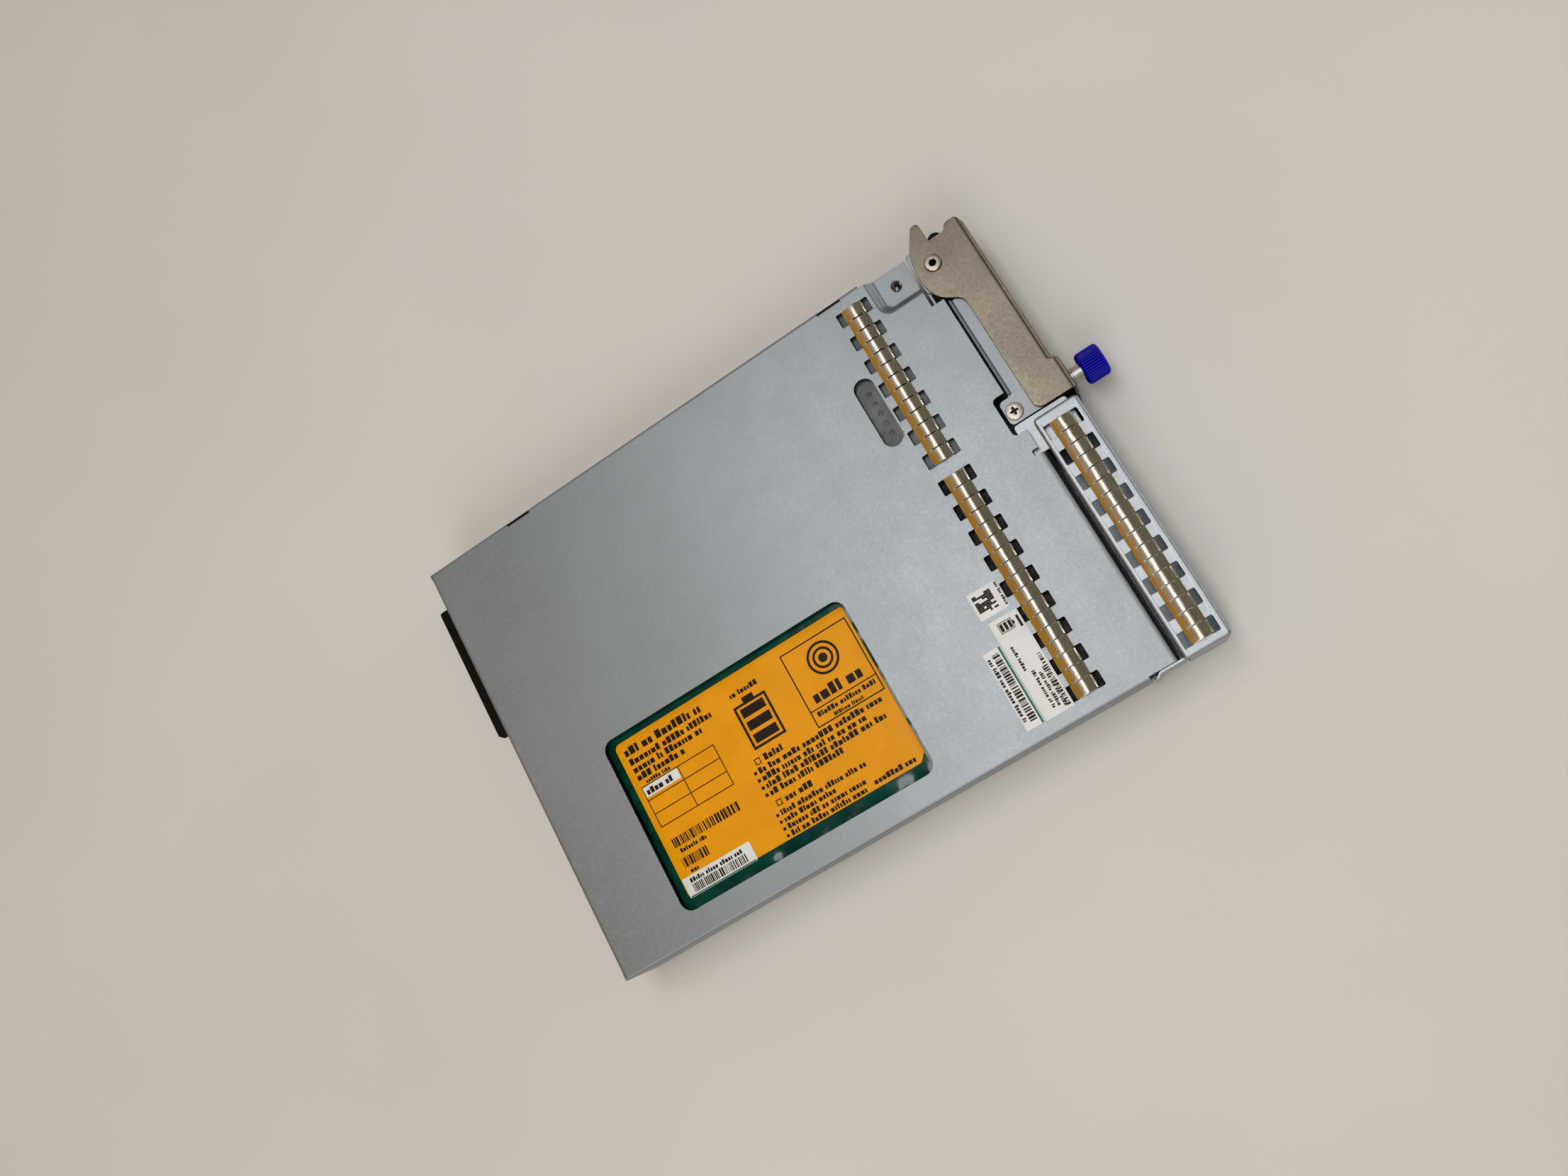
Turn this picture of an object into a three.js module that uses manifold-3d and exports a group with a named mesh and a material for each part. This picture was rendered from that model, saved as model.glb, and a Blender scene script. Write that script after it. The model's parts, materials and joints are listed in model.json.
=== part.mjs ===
// A plug-in battery canister for a rack storage controller, as separate sheet-metal, lever and
// battery parts. Millimetres. +X points from the rear connector to the front thumbscrew, +Z up,
// +Y towards the lever's pivot. The origin is the centre of the housing's bottom face.
import * as THREE from "three";
import { mergeVertices } from "three/addons/utils/BufferGeometryUtils.js";
import Module from "manifold-3d";

const wasm = await Module();
wasm.setup();

// ---- Driving dimensions ----

// Housing
const LENGTH = 224;
const WIDTH = 159;
const HEIGHT = 25;
const SHEET = 1;
const GAP = 0.3;
const FRONT = LENGTH / 2;
const SIDE = WIDTH / 2;
const SEAM = 20.5; // height where the cover's short flanges meet the tray's walls

// Steps of the front edge, from the bezel side to the pivot side
const COVER_FRONT = 92.9;
const PAD_FRONT = 88.4;
const PAD_SIDE = 78.2;
const PAD_STEP = 71.3;
const POCKET_Y = 58.4;
const NOTCH_X = 88.3;
const NOTCH_Y = [6.6, 20.7];
const SLIT = { x: [90.5, 97], y: [-2.2, -0.2] };
const TONGUE_X = 84;
const TONGUE_CUT = 1.2;
const BEND = { reach: 2.2, drop: 3.6 };

// Pressed-in corner pad that the lever's claw swings over
const PAD = { x: 73.2, y: 63.9, depth: 2.6, slope: [3.4, 3], outerR: 4.5, innerR: 2.2 };

// Battery window and viewing slot
const WINDOW = { x: [-82.4, 14.2], y: [-70.5, -7.4], r: 4 };
const SLOT = { x: 55.9, y: [25.2, 51], r: 3.5 };
const EDGE_SLOTS = [[-76.6, -67], [55.1, 64.2]];
const SIDE_BOSSES = [[-36.4, -17, 0.15], [54.2, 73.6, 0.5]];

// Finger gaskets
const FINGER = 4.75;
const STRIP_HALF = 3.75;
const STRIP_RISE = 1.3;
const STRIP_SKIN = 0.3;
const SLIT_WIDTH = 0.35;
const SLIT_HALF = 1.8;
const CLIP = { inner: 3.15, outer: 5.9, length: 5.1 };
const UPPER_STRIP = { x: 66.2, top: 74.2, fingers: 13 };
const LOWER_STRIP = { x: 66.2, top: 7.1, fingers: 17 };
const BEZEL_STRIP = { x: 103.2, top: 4.2, fingers: 17 };

// Front bezel
const BEZEL = { x: [95.6, 111.4], y: [-SIDE, 8.2], r: 1.5 };
const FLANGE_Z = 22.4; // top face of the sunk plates: pad floor, bracket and bezel flange
const LOUVRE = { width: 8, proud: 0.5, height: 4.2, rows: [8.2, 18.4] };

// Lever, its bracket and its pivot
const PIVOT = { x: 96.1, y: 71.2 };
const PIVOT_R = 2;
const PIVOT_HOLE = 2.3;
const LEVER_SHEET = 1.2;
const LEVER_TOP = FLANGE_Z + GAP + LEVER_SHEET;
const LEVER_REAR = 98.6;
const LEVER_FRONT = 111.3;
const LEVER_END = 10.5;
const TAB = { front: 113.1, top: 22.5 };
const WALL_X = 103.4; // front face of the bracket's upright
const CORNER_SCREW = { x: 82.2, y: 72.2 };
const TAB_SCREW = { x: 92.7, y: 14.4 };

// Captive thumbscrew, on an axis along X
const SCREW = { y: 16.5, z: HEIGHT / 2, r: 1.5, tip: 103.9, end: 124.6 };
const KNOB = { x: [117.4, 125.3], r: 5.5, bore: 3.05, floor: 124, chamfer: 0.8 };
const FERRULE = { r: 2.75, spigot: 2.2, bore: 1.8, back: 109.2, tip: 117.8 };

// Rear connector
const PLUG = { x: [-119, -110], y: [15.5, 68.2], z: [8.3, 16.7], mouth: 5, rim: 1.2 };
const PLUG_HOLES = [24.2, 30.7, 52.9, 59.3];
const CONTACTS = 14;

// Battery pack: nine round cells in one flat layer
const CELLS = 9;
const CELL = { r: 9.1, length: 67.5, pitch: 18.3, x: -5.9, y: -38.15, z: 12.4 };
const SLEEVE = { skin: 0.5, end: 35.75 };
const LABEL = { x: [-79.5, 13], y: [-66.2, -9.6], cut: 2.6, thick: 0.2 };

// Control board
const BOARD = { x: [-104, 62], y: [3, 74], z: [5, 6.6] };

// ---- Materials ----

function finish(color, roughness, metalness) {
  return new THREE.MeshStandardMaterial({ color, roughness, metalness });
}

const ZINC = finish(0x9aa3a5, 0.5, 0.8);
const BRIGHT_ZINC = finish(0xb4bbbd, 0.38, 0.9);
const NICKEL = finish(0xb3aa9c, 0.35, 0.95);
const TIN = finish(0xd8d4cc, 0.12, 1);
const STEEL = finish(0x8e8f90, 0.3, 1);
const BLUE = finish(0x1c2590, 0.5, 0);
const BLACK = finish(0x17181a, 0.55, 0);
const GREEN_FILM = finish(0x063f35, 0.2, 0);
const ORANGE_PAPER = finish(0xe89b05, 0.5, 0);
const BOARD_GREEN = finish(0x0d4a2a, 0.5, 0);
const GREY_FILM = finish(0x45494b, 0.45, 0);
const FOAM = finish(0x2b2b2c, 0.95, 0);
const FISH_PAPER = finish(0xcfc9a8, 0.9, 0);
const COPPER = finish(0xc98a3c, 0.3, 1);
const RED_WIRE = finish(0xb01515, 0.5, 0);
const BLACK_WIRE = finish(0x151515, 0.5, 0);
const IVORY = finish(0xe6e0cc, 0.6, 0);

const canister = new THREE.Group();

// ---- Solids ----

function solid(geometry) {
  const bare = geometry.index ? geometry.toNonIndexed() : geometry;
  bare.deleteAttribute("normal");
  bare.deleteAttribute("uv");
  const merged = mergeVertices(bare, 1e-4);
  return new wasm.Manifold(
    new wasm.Mesh({
      numProp: 3,
      vertProperties: merged.attributes.position.array,
      triVerts: new Uint32Array(merged.index.array),
    }),
  );
}

function add(name, body, material) {
  const mesh = body.getMesh();
  const geometry = new THREE.BufferGeometry();
  geometry.setAttribute("position", new THREE.BufferAttribute(mesh.vertProperties, 3));
  geometry.setIndex(new THREE.BufferAttribute(mesh.triVerts, 1));
  geometry.computeVertexNormals();
  const part = new THREE.Mesh(geometry, material);
  part.name = name;
  canister.add(part);
}

function join(...bodies) {
  return bodies.reduce((whole, body) => whole.add(body));
}

function cut(body, ...tools) {
  return tools.reduce((left, tool) => left.subtract(tool), body);
}

function block([x0, x1], [y0, y1], [z0, z1]) {
  const box = new THREE.BoxGeometry(x1 - x0, y1 - y0, z1 - z0);
  return solid(box.translate((x0 + x1) / 2, (y0 + y1) / 2, (z0 + z1) / 2));
}

// A flat plate of any outline between two heights
function plate(shape, [z0, z1], curveSegments = 3) {
  const options = { depth: z1 - z0, bevelEnabled: false, curveSegments };
  return solid(new THREE.ExtrudeGeometry(shape, options).translate(0, 0, z0));
}

// An outline in X and Z, run along Y
function run(shape, [y0, y1], curveSegments = 6) {
  const options = { depth: y1 - y0, bevelEnabled: false, curveSegments };
  const geometry = new THREE.ExtrudeGeometry(shape, options);
  return solid(geometry.rotateX(Math.PI / 2).translate(0, y1, 0));
}

function outline(points) {
  return new THREE.Shape(points.map(([x, y]) => new THREE.Vector2(x, y)));
}

function roundedRect([x0, x1], [y0, y1], r) {
  const shape = new THREE.Shape();
  shape.absarc(x1 - r, y0 + r, r, -Math.PI / 2, 0);
  shape.absarc(x1 - r, y1 - r, r, 0, Math.PI / 2);
  shape.absarc(x0 + r, y1 - r, r, Math.PI / 2, Math.PI);
  shape.absarc(x0 + r, y0 + r, r, Math.PI, Math.PI * 1.5);
  return shape;
}

// A profile of [radius, distance] points turned about an axis
function turned(profile, sides) {
  const points = profile.map(([r, along]) => new THREE.Vector2(r, along));
  return new THREE.LatheGeometry([...points, points[0].clone()], sides);
}

function turnedZ(profile, x, y, sides = 24) {
  return solid(turned(profile, sides).rotateX(Math.PI / 2).translate(x, y, 0));
}

function turnedX(profile, y, z, sides = 24) {
  return solid(turned(profile, sides).rotateZ(-Math.PI / 2).translate(0, y, z));
}

function rodZ(r, x, y, [z0, z1], sides = 20) {
  return turnedZ([[0, z0], [r, z0], [r, z1], [0, z1]], x, y, sides);
}

function rodX(r, [x0, x1], y, z, sides = 20) {
  return turnedX([[0, x0], [r, x0], [r, x1], [0, x1]], y, z, sides);
}

function rodY(r, x, [y0, y1], z, sides = 20) {
  const rod = turned([[0, y0], [r, y0], [r, y1], [0, y1]], sides);
  return solid(rod.translate(x, 0, z));
}

// A round wire or lead along a smooth curve through the points
function wire(points, r, sides, steps) {
  const path = new THREE.CatmullRomCurve3(points.map((p) => new THREE.Vector3(...p)));
  const ring = new THREE.Shape().absarc(0, 0, r, 0, 2 * Math.PI);
  const options = { extrudePath: path, steps, curveSegments: sides / 2, bevelEnabled: false };
  return solid(new THREE.ExtrudeGeometry(ring, options));
}

// The same body, turned over about the housing's mid-height
function flipped(body) {
  return body.mirror([0, 0, 1]).translate([0, 0, HEIGHT]);
}

// ---- Pressed corner pad ----

// One level of the pad's outline: a corner open towards the front and the pivot side
function padRing(inset, r, z) {
  const x = PAD.x + inset[0];
  const y = PAD.y + inset[1];
  const ring = [];
  const steps = 5;
  for (let i = 0; i <= steps; i++) {
    const turn = Math.PI + (i / steps) * (Math.PI / 2);
    ring.push(new THREE.Vector3(x + r + r * Math.cos(turn), y + r + r * Math.sin(turn), z));
  }
  ring.push(new THREE.Vector3(FRONT, y, z), new THREE.Vector3(FRONT, SIDE + 5, z));
  ring.push(new THREE.Vector3(x, SIDE + 5, z));
  return ring;
}

// A closed body between two rings with the same number of points
function loft(lower, upper) {
  const n = lower.length;
  const flat = lower.map((p) => new THREE.Vector2(p.x, p.y));
  const faces = THREE.ShapeUtils.triangulateShape(flat, []);
  const index = [];
  for (const [a, b, c] of faces) {
    index.push(a, c, b, a + n, b + n, c + n);
  }
  for (let i = 0; i < n; i++) {
    const next = (i + 1) % n;
    index.push(i, next, next + n, i, next + n, i + n);
  }
  const geometry = new THREE.BufferGeometry().setFromPoints([...lower, ...upper]);
  return solid(geometry.setIndex(index));
}

function padHollow() {
  const floor = padRing(PAD.slope, PAD.innerR, HEIGHT - PAD.depth);
  const mouth = padRing([0, 0], PAD.outerR, HEIGHT);
  const above = padRing([0, 0], PAD.outerR, HEIGHT + 5);
  return join(loft(floor, mouth), loft(mouth, above));
}

function padShell() {
  const under = [PAD.slope[0] - SHEET, PAD.slope[1] - SHEET];
  const floor = padRing(under, PAD.innerR + SHEET, HEIGHT - PAD.depth - SHEET);
  const mouth = padRing([-SHEET, -SHEET], PAD.outerR + SHEET, HEIGHT);
  const kept = block([PAD.x - 2, PAD_FRONT], [PAD.y - 2, PAD_SIDE], [HEIGHT - 5, HEIGHT]);
  return loft(floor, mouth).intersect(kept);
}

function withPad(body) {
  return cut(join(body, padShell()), padHollow());
}

// ---- Gaskets ----

// Every other finger of a strip clips through a pair of windows in the sheet
function clipCentres(strip) {
  const centres = [];
  for (let i = 0; i < strip.fingers; i += 2) {
    centres.push(strip.top - (i + 0.5) * FINGER);
  }
  return centres;
}

function clipWindows(strip) {
  const windows = [];
  for (const y of clipCentres(strip)) {
    for (const [from, to] of [[-CLIP.outer, -CLIP.inner], [CLIP.inner, CLIP.outer]]) {
      const across = [strip.x + from, strip.x + to];
      const along = [y - CLIP.length / 2, y + CLIP.length / 2];
      windows.push(block(across, along, [HEIGHT - 1.5, HEIGHT + 0.5]));
    }
  }
  return windows;
}

// The low arch of the fingers, seen along the strip
function archOutline(x, lift, skin) {
  const shape = new THREE.Shape();
  const foot = HEIGHT + GAP;
  shape.moveTo(x - STRIP_HALF, foot + lift);
  shape.lineTo(x - 1.2, foot + STRIP_RISE * 0.72 + lift);
  shape.quadraticCurveTo(x + 0.4, foot + STRIP_RISE * 1.25 + lift, x + 1.7, foot + STRIP_RISE * 0.7 + lift);
  shape.lineTo(x + STRIP_HALF, foot + lift);
  shape.lineTo(x + STRIP_HALF, foot - skin);
  shape.lineTo(x - STRIP_HALF, foot - skin);
  return shape;
}

function clipLeg(x, y, side) {
  const reach = FINGER / 2 - 0.3;
  const along = [y - reach, y + reach];
  const hook = HEIGHT - SHEET - GAP;
  const outer = x + side * STRIP_HALF;
  const leg = [outer, outer - side * STRIP_SKIN].sort((a, b) => a - b);
  return block(leg, along, [hook - STRIP_SKIN, HEIGHT + GAP + STRIP_SKIN / 2]);
}

function gasket(strip) {
  const along = [strip.top - strip.fingers * FINGER, strip.top];
  const beyond = [along[0] - 1, along[1] + 1];
  const arch = run(archOutline(strip.x, STRIP_SKIN, 0), along, 3);
  const hollow = run(archOutline(strip.x, -0.05, 1), beyond, 3);
  const slits = [];
  for (let i = 1; i < strip.fingers; i++) {
    const y = strip.top - i * FINGER;
    const across = [strip.x - SLIT_HALF, strip.x + SLIT_HALF];
    slits.push(block(across, [y - SLIT_WIDTH / 2, y + SLIT_WIDTH / 2], [HEIGHT, HEIGHT + 4]));
  }
  const legs = clipCentres(strip).flatMap((y) => [clipLeg(strip.x, y, -1), clipLeg(strip.x, y, 1)]);
  return join(cut(arch, hollow, ...slits), ...legs);
}

// ---- Housing ----

function coverOutline() {
  return outline([
    [-FRONT, -SIDE],
    [TONGUE_X, -SIDE],
    [TONGUE_X, -SIDE + TONGUE_CUT],
    [COVER_FRONT, -SIDE + TONGUE_CUT],
    [COVER_FRONT, SLIT.y[0]],
    [SLIT.x[0], SLIT.y[0]],
    [SLIT.x[0], SLIT.y[1]],
    [COVER_FRONT, SLIT.y[1]],
    [COVER_FRONT, NOTCH_Y[0]],
    [NOTCH_X, NOTCH_Y[0]],
    [NOTCH_X, NOTCH_Y[1]],
    [COVER_FRONT, NOTCH_Y[1]],
    [COVER_FRONT, POCKET_Y],
    [PAD_FRONT, POCKET_Y],
    [PAD_FRONT, PAD_SIDE],
    [PAD_STEP, PAD_SIDE],
    [PAD_STEP, SIDE],
    [-FRONT, SIDE],
  ]);
}

// The cover's front edge bends down towards the bezel, a hair inside the sheet's own faces
function frontBend() {
  const x = COVER_FRONT;
  const top = HEIGHT - 0.06;
  const under = HEIGHT - SHEET + 0.06;
  const profile = outline([
    [x - 1, top],
    [x - 1, under],
    [x - 0.4, under],
    [x + BEND.reach - SHEET, HEIGHT - BEND.drop],
    [x + BEND.reach, HEIGHT - BEND.drop],
    [x + BEND.reach, HEIGHT - BEND.drop + 0.6],
    [x + 0.3, HEIGHT - 0.3],
    [x - 0.1, top],
  ]);
  return run(profile, [-SIDE + TONGUE_CUT + 0.1, SLIT.y[0] - 0.1]);
}

function topCover() {
  const side = [SEAM, HEIGHT - SHEET / 2];
  const skin = plate(coverOutline(), [HEIGHT - SHEET, HEIGHT]);
  const flanges = [
    block([-FRONT, TONGUE_X], [-SIDE, -SIDE + SHEET], side),
    block([-FRONT, PAD_STEP], [SIDE - SHEET, SIDE], side),
    block([-FRONT, -FRONT + SHEET], [-SIDE, SIDE], side),
  ];
  const deep = [HEIGHT - 2 * SHEET, HEIGHT + 1];
  const obround = roundedRect([SLOT.x - SLOT.r, SLOT.x + SLOT.r], SLOT.y, SLOT.r - 0.01);
  const holes = [
    plate(roundedRect(WINDOW.x, WINDOW.y, WINDOW.r), deep),
    plate(obround, deep),
    ...clipWindows(UPPER_STRIP),
    ...clipWindows(LOWER_STRIP),
    ...EDGE_SLOTS.map((x) => block(x, [SIDE - 1.6, SIDE - 0.5], deep)),
    rodZ(1.7, CORNER_SCREW.x, CORNER_SCREW.y, [HEIGHT - 6, HEIGHT]),
  ];
  return cut(withPad(join(skin, ...flanges, frontBend())), ...holes);
}

function trayOutline() {
  return outline([
    [-FRONT, -SIDE],
    [TONGUE_X, -SIDE],
    [TONGUE_X, -SIDE + TONGUE_CUT],
    [COVER_FRONT, -SIDE + TONGUE_CUT],
    [COVER_FRONT, POCKET_Y],
    [PAD_FRONT, POCKET_Y],
    [PAD_FRONT, PAD_SIDE],
    [PAD_STEP, PAD_SIDE],
    [PAD_STEP, SIDE],
    [-FRONT, SIDE],
  ]);
}

// A side wall whose top steps inwards, to stand behind the cover's flange
function trayWall(x, side) {
  const span = (from, to) => [side * (SIDE - from), side * (SIDE - to)].sort((a, b) => a - b);
  const step = SHEET + GAP;
  const behind = [x[0] + step, x[1]];
  return join(
    block(x, span(0, SHEET), [0, SEAM - GAP]),
    block(behind, span(0, step + SHEET), [SEAM - 2.5, SEAM - 1.5]),
    block(behind, span(step, step + SHEET), [SEAM - 2.5, SEAM + 2.5]),
  );
}

function bottomTray() {
  const floor = plate(trayOutline(), [0, SHEET]);
  const rearStep = -FRONT + SHEET + GAP;
  const inner = [-SIDE + 2 * SHEET + GAP, SIDE - 2 * SHEET - GAP];
  const walls = [
    trayWall([-FRONT, TONGUE_X], -1),
    trayWall([-FRONT, PAD_STEP], 1),
    block([-FRONT, -FRONT + SHEET], [-SIDE, SIDE], [0, SEAM - GAP]),
    block([-FRONT, rearStep + SHEET], inner, [SEAM - 2.5, SEAM - 1.5]),
    block([rearStep, rearStep + SHEET], inner, [SEAM - 2.5, SEAM + 2.5]),
    block([PAD_STEP - 1, PAD_STEP], [PAD_SIDE - SHEET, SIDE], [0, SEAM - GAP]),
    block([PAD_STEP - 1, PAD_FRONT], [PAD_SIDE - SHEET, PAD_SIDE], [0, SEAM - GAP]),
  ];
  const bosses = SIDE_BOSSES.map(([x0, x1, proud]) =>
    block([x0, x1], [-SIDE - proud, -SIDE + SHEET / 2], [3, SEAM - 2]),
  );
  const connector = block(
    [-FRONT - 1, -FRONT + 4],
    [PLUG.y[0] - GAP, PLUG.y[1] + GAP],
    [PLUG.z[0] - GAP, PLUG.z[1] + GAP],
  );
  const body = flipped(withPad(flipped(join(floor, ...walls, ...bosses))));
  return cut(body, connector);
}

// ---- Front bezel ----

// A row of louvre hoods on the front face, each over its own slot
function louvres() {
  const hoods = [];
  const slots = [];
  const face = BEZEL.x[1];
  for (const y of clipCentres(BEZEL_STRIP)) {
    const along = [y - LOUVRE.width / 2, y + LOUVRE.width / 2];
    for (const z of LOUVRE.rows) {
      const hood = outline([
        [face - SHEET, z],
        [face + LOUVRE.proud, z],
        [face + LOUVRE.proud, z + 1.2],
        [face, z + LOUVRE.height],
        [face - SHEET, z + LOUVRE.height],
      ]);
      hoods.push(run(hood, along));
      slots.push(block([face - 3, face + 2], [along[0] + 0.6, along[1] - 0.6], [z - 3.4, z]));
    }
  }
  return { hoods, slots };
}

function frontBezel() {
  const [x0, x1] = BEZEL.x;
  const [y0, y1] = BEZEL.y;
  const lid = roundedRect(BEZEL.x, BEZEL.y, BEZEL.r);
  const upright = [SHEET / 2, HEIGHT - SHEET / 2];
  const tongue = outline([
    [x0 + 1, y0 + 0.1],
    [x0 + 1, y0 + 0.8],
    [TONGUE_X + 2.4, y0 + 0.8],
    [TONGUE_X + 0.5, y0 - 0.2],
    [TONGUE_X + 0.9, y0 - 0.8],
    [TONGUE_X + 2.6, y0 + 0.1],
  ]);
  const flange = roundedRect([89.6, x1 - 3], [-1.9, 10.2], 1);
  const { hoods, slots } = louvres();
  const body = join(
    plate(lid, [HEIGHT - SHEET, HEIGHT]),
    plate(lid, [0, SHEET]),
    block([x1 - SHEET, x1], [y0 + BEZEL.r, y1 - BEZEL.r], [0, HEIGHT]),
    block([x0 + BEZEL.r, x1], [y0, y0 + SHEET], upright),
    block([x0 + BEZEL.r, x1], [y1 - SHEET, y1], upright),
    plate(tongue, [3, HEIGHT - 0.8]),
    plate(flange, [FLANGE_Z - SHEET, FLANGE_Z]),
    ...hoods,
  );
  return cut(body, ...slots, ...clipWindows(BEZEL_STRIP));
}

// ---- Lever bracket ----

function bracketOutline() {
  const shape = new THREE.Shape();
  const r = 1.5;
  shape.moveTo(WALL_X, 10.6);
  shape.lineTo(89.5 + r, 10.6);
  shape.quadraticCurveTo(89.5, 10.6, 89.5, 10.6 + r);
  shape.lineTo(89.5, 19.4 - r);
  shape.quadraticCurveTo(89.5, 19.4, 89.5 + r, 19.4);
  shape.lineTo(93.3, 19.4);
  shape.lineTo(93.3, 57.3);
  shape.lineTo(96.5, 57.3);
  shape.lineTo(96.5, 60.4);
  shape.lineTo(91.3, 62.3);
  shape.lineTo(89.3, 65);
  shape.lineTo(89.3, 79.3 - r);
  shape.quadraticCurveTo(89.3, 79.3, 89.3 + r, 79.3);
  shape.lineTo(106 - r, 79.3);
  shape.quadraticCurveTo(106, 79.3, 106, 79.3 - r);
  shape.lineTo(106, 63);
  shape.lineTo(WALL_X, 58);
  return shape;
}

function leverBracket() {
  const shelf = plate(bracketOutline(), [FLANGE_Z - SHEET, FLANGE_Z]);
  const inside = [HEIGHT - FLANGE_Z, FLANGE_Z];
  const body = join(
    shelf,
    flipped(shelf),
    block([93.3, 94.7], [19.6, 57.3], [FLANGE_Z - 0.5, HEIGHT - 1.3]),
    block([WALL_X - SHEET, WALL_X], [10.6, 57.3], inside),
    block([89.3, WALL_X], [56.3, 57.3], inside),
    block([89.3, 89.3 + SHEET], [56.3, 79.3 - 1.5], inside),
  );
  return cut(
    body,
    rodZ(PIVOT_HOLE, PIVOT.x, PIVOT.y, [0, HEIGHT]),
    rodZ(1.8, TAB_SCREW.x, TAB_SCREW.y, [FLANGE_Z - 4, HEIGHT]),
    rodX(FERRULE.bore, [WALL_X - 3, WALL_X + 1], SCREW.y, SCREW.z),
  );
}

// ---- Cam lever ----

// Long prong, notch for the chassis pin, short prong, then the arm down to the free end
function leverOutline() {
  const shape = new THREE.Shape();
  shape.moveTo(LEVER_FRONT, LEVER_END);
  shape.lineTo(LEVER_FRONT, 78.4);
  shape.quadraticCurveTo(110.8, 80.9, 108.6, 80.9);
  shape.lineTo(107.2, 80.9);
  shape.quadraticCurveTo(106, 80.9, 105.3, 79.9);
  shape.quadraticCurveTo(104.4, 78.2, 103, 78.2);
  shape.lineTo(100.9, 78.2);
  shape.quadraticCurveTo(LEVER_REAR, 78.2, LEVER_REAR, 80);
  shape.lineTo(LEVER_REAR, 84.7);
  shape.quadraticCurveTo(98.5, 86.2, 96.9, 86.2);
  shape.quadraticCurveTo(96, 86.2, 95.4, 85.2);
  shape.lineTo(91.8, 79.4);
  shape.bezierCurveTo(89.6, 74.5, 88.6, 66.5, 91.3, 61.5);
  shape.quadraticCurveTo(92.6, 59, 96, 57.2);
  shape.quadraticCurveTo(LEVER_REAR, 56, LEVER_REAR, 52.6);
  shape.lineTo(LEVER_REAR, LEVER_END + 3.6);
  shape.quadraticCurveTo(LEVER_REAR, LEVER_END, LEVER_REAR + 3.6, LEVER_END);
  return shape;
}

function lever() {
  const arm = plate(leverOutline(), [LEVER_TOP - LEVER_SHEET, LEVER_TOP], 4);
  const tall = [HEIGHT - LEVER_TOP, LEVER_TOP];
  const body = join(
    arm,
    flipped(arm),
    block([LEVER_FRONT - LEVER_SHEET, LEVER_FRONT], [LEVER_END, 78.2], tall),
    block([LEVER_FRONT - LEVER_SHEET, TAB.front], [LEVER_END, TAB.top], tall),
  );
  return cut(
    body,
    rodZ(PIVOT_HOLE, PIVOT.x, PIVOT.y, [-1, HEIGHT + 1]),
    rodX(FERRULE.spigot + GAP, [LEVER_FRONT - 3, TAB.front + 1], SCREW.y, SCREW.z),
  );
}

// A hollow rivet with a rolled head outside each arm of the lever
function leverRivet() {
  const head = LEVER_TOP + 0.25;
  const foot = HEIGHT - head;
  return turnedZ(
    [
      [1.1, foot - 0.55],
      [2.6, foot - 0.55],
      [2.95, foot - 0.2],
      [2.95, foot],
      [PIVOT_R, foot],
      [PIVOT_R, head],
      [2.95, head],
      [2.95, head + 0.2],
      [2.6, head + 0.55],
      [1.1, head + 0.55],
    ],
    PIVOT.x,
    PIVOT.y,
  );
}

// ---- Captive thumbscrew ----

function ferrule() {
  const collar = TAB.front + 0.25;
  return turnedX(
    [
      [FERRULE.bore, FERRULE.back],
      [FERRULE.spigot, FERRULE.back],
      [FERRULE.spigot, collar],
      [FERRULE.r, collar],
      [FERRULE.r, FERRULE.tip - 0.3],
      [FERRULE.r - 0.3, FERRULE.tip],
      [FERRULE.bore, FERRULE.tip],
    ],
    SCREW.y,
    SCREW.z,
  );
}

function shaft() {
  const stop = FERRULE.back - GAP;
  return turnedX(
    [
      [0, SCREW.tip],
      [SCREW.r - 0.5, SCREW.tip],
      [SCREW.r, SCREW.tip + 0.6],
      [SCREW.r, stop - 0.8],
      [2.3, stop - 0.8],
      [2.3, stop],
      [SCREW.r, stop],
      [SCREW.r, SCREW.end],
      [0, SCREW.end],
    ],
    SCREW.y,
    SCREW.z,
    16,
  );
}

function knob() {
  const [back, face] = KNOB.x;
  const inner = KNOB.r - KNOB.chamfer;
  return turnedX(
    [
      [0, SCREW.end + GAP],
      [FERRULE.bore, SCREW.end + GAP],
      [FERRULE.bore, KNOB.floor],
      [KNOB.bore, KNOB.floor],
      [KNOB.bore, back],
      [inner, back],
      [KNOB.r, back + KNOB.chamfer],
      [KNOB.r, face - KNOB.chamfer],
      [inner, face],
      [0, face],
    ],
    SCREW.y,
    SCREW.z,
    36,
  );
}

// The return spring at its closed length, at the bottom of the knob's bore
function spring() {
  const turns = 2;
  const wireR = 0.25;
  const pitch = 0.65;
  const radius = 2.3;
  const start = KNOB.floor - 0.4 - turns * pitch;
  const steps = 12 * turns;
  const points = [];
  for (let i = 0; i <= steps; i++) {
    const turn = i / 12;
    const angle = turn * 2 * Math.PI;
    const across = [SCREW.y + radius * Math.cos(angle), SCREW.z + radius * Math.sin(angle)];
    points.push([start + turn * pitch, ...across]);
  }
  return wire(points, wireR, 6, steps);
}

function clinchNut() {
  const face = WALL_X - SHEET - GAP;
  return turnedX(
    [[FERRULE.bore, face - 4], [2.8, face - 4], [3.4, face - 3.2], [3.4, face], [FERRULE.bore, face]],
    SCREW.y,
    SCREW.z,
    18,
  );
}

// ---- Small screws ----

function domedScrew({ x, y }) {
  const top = HEIGHT - PAD.depth + 0.2;
  const shank = [[0, top - 6], [1.3, top - 6], [1.3, top]];
  const dome = [[1.8, top], [1.65, top + 0.7], [1, top + 1.2], [0, top + 1.35]];
  return turnedZ([...shank, ...dome], x, y, 16);
}

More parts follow.
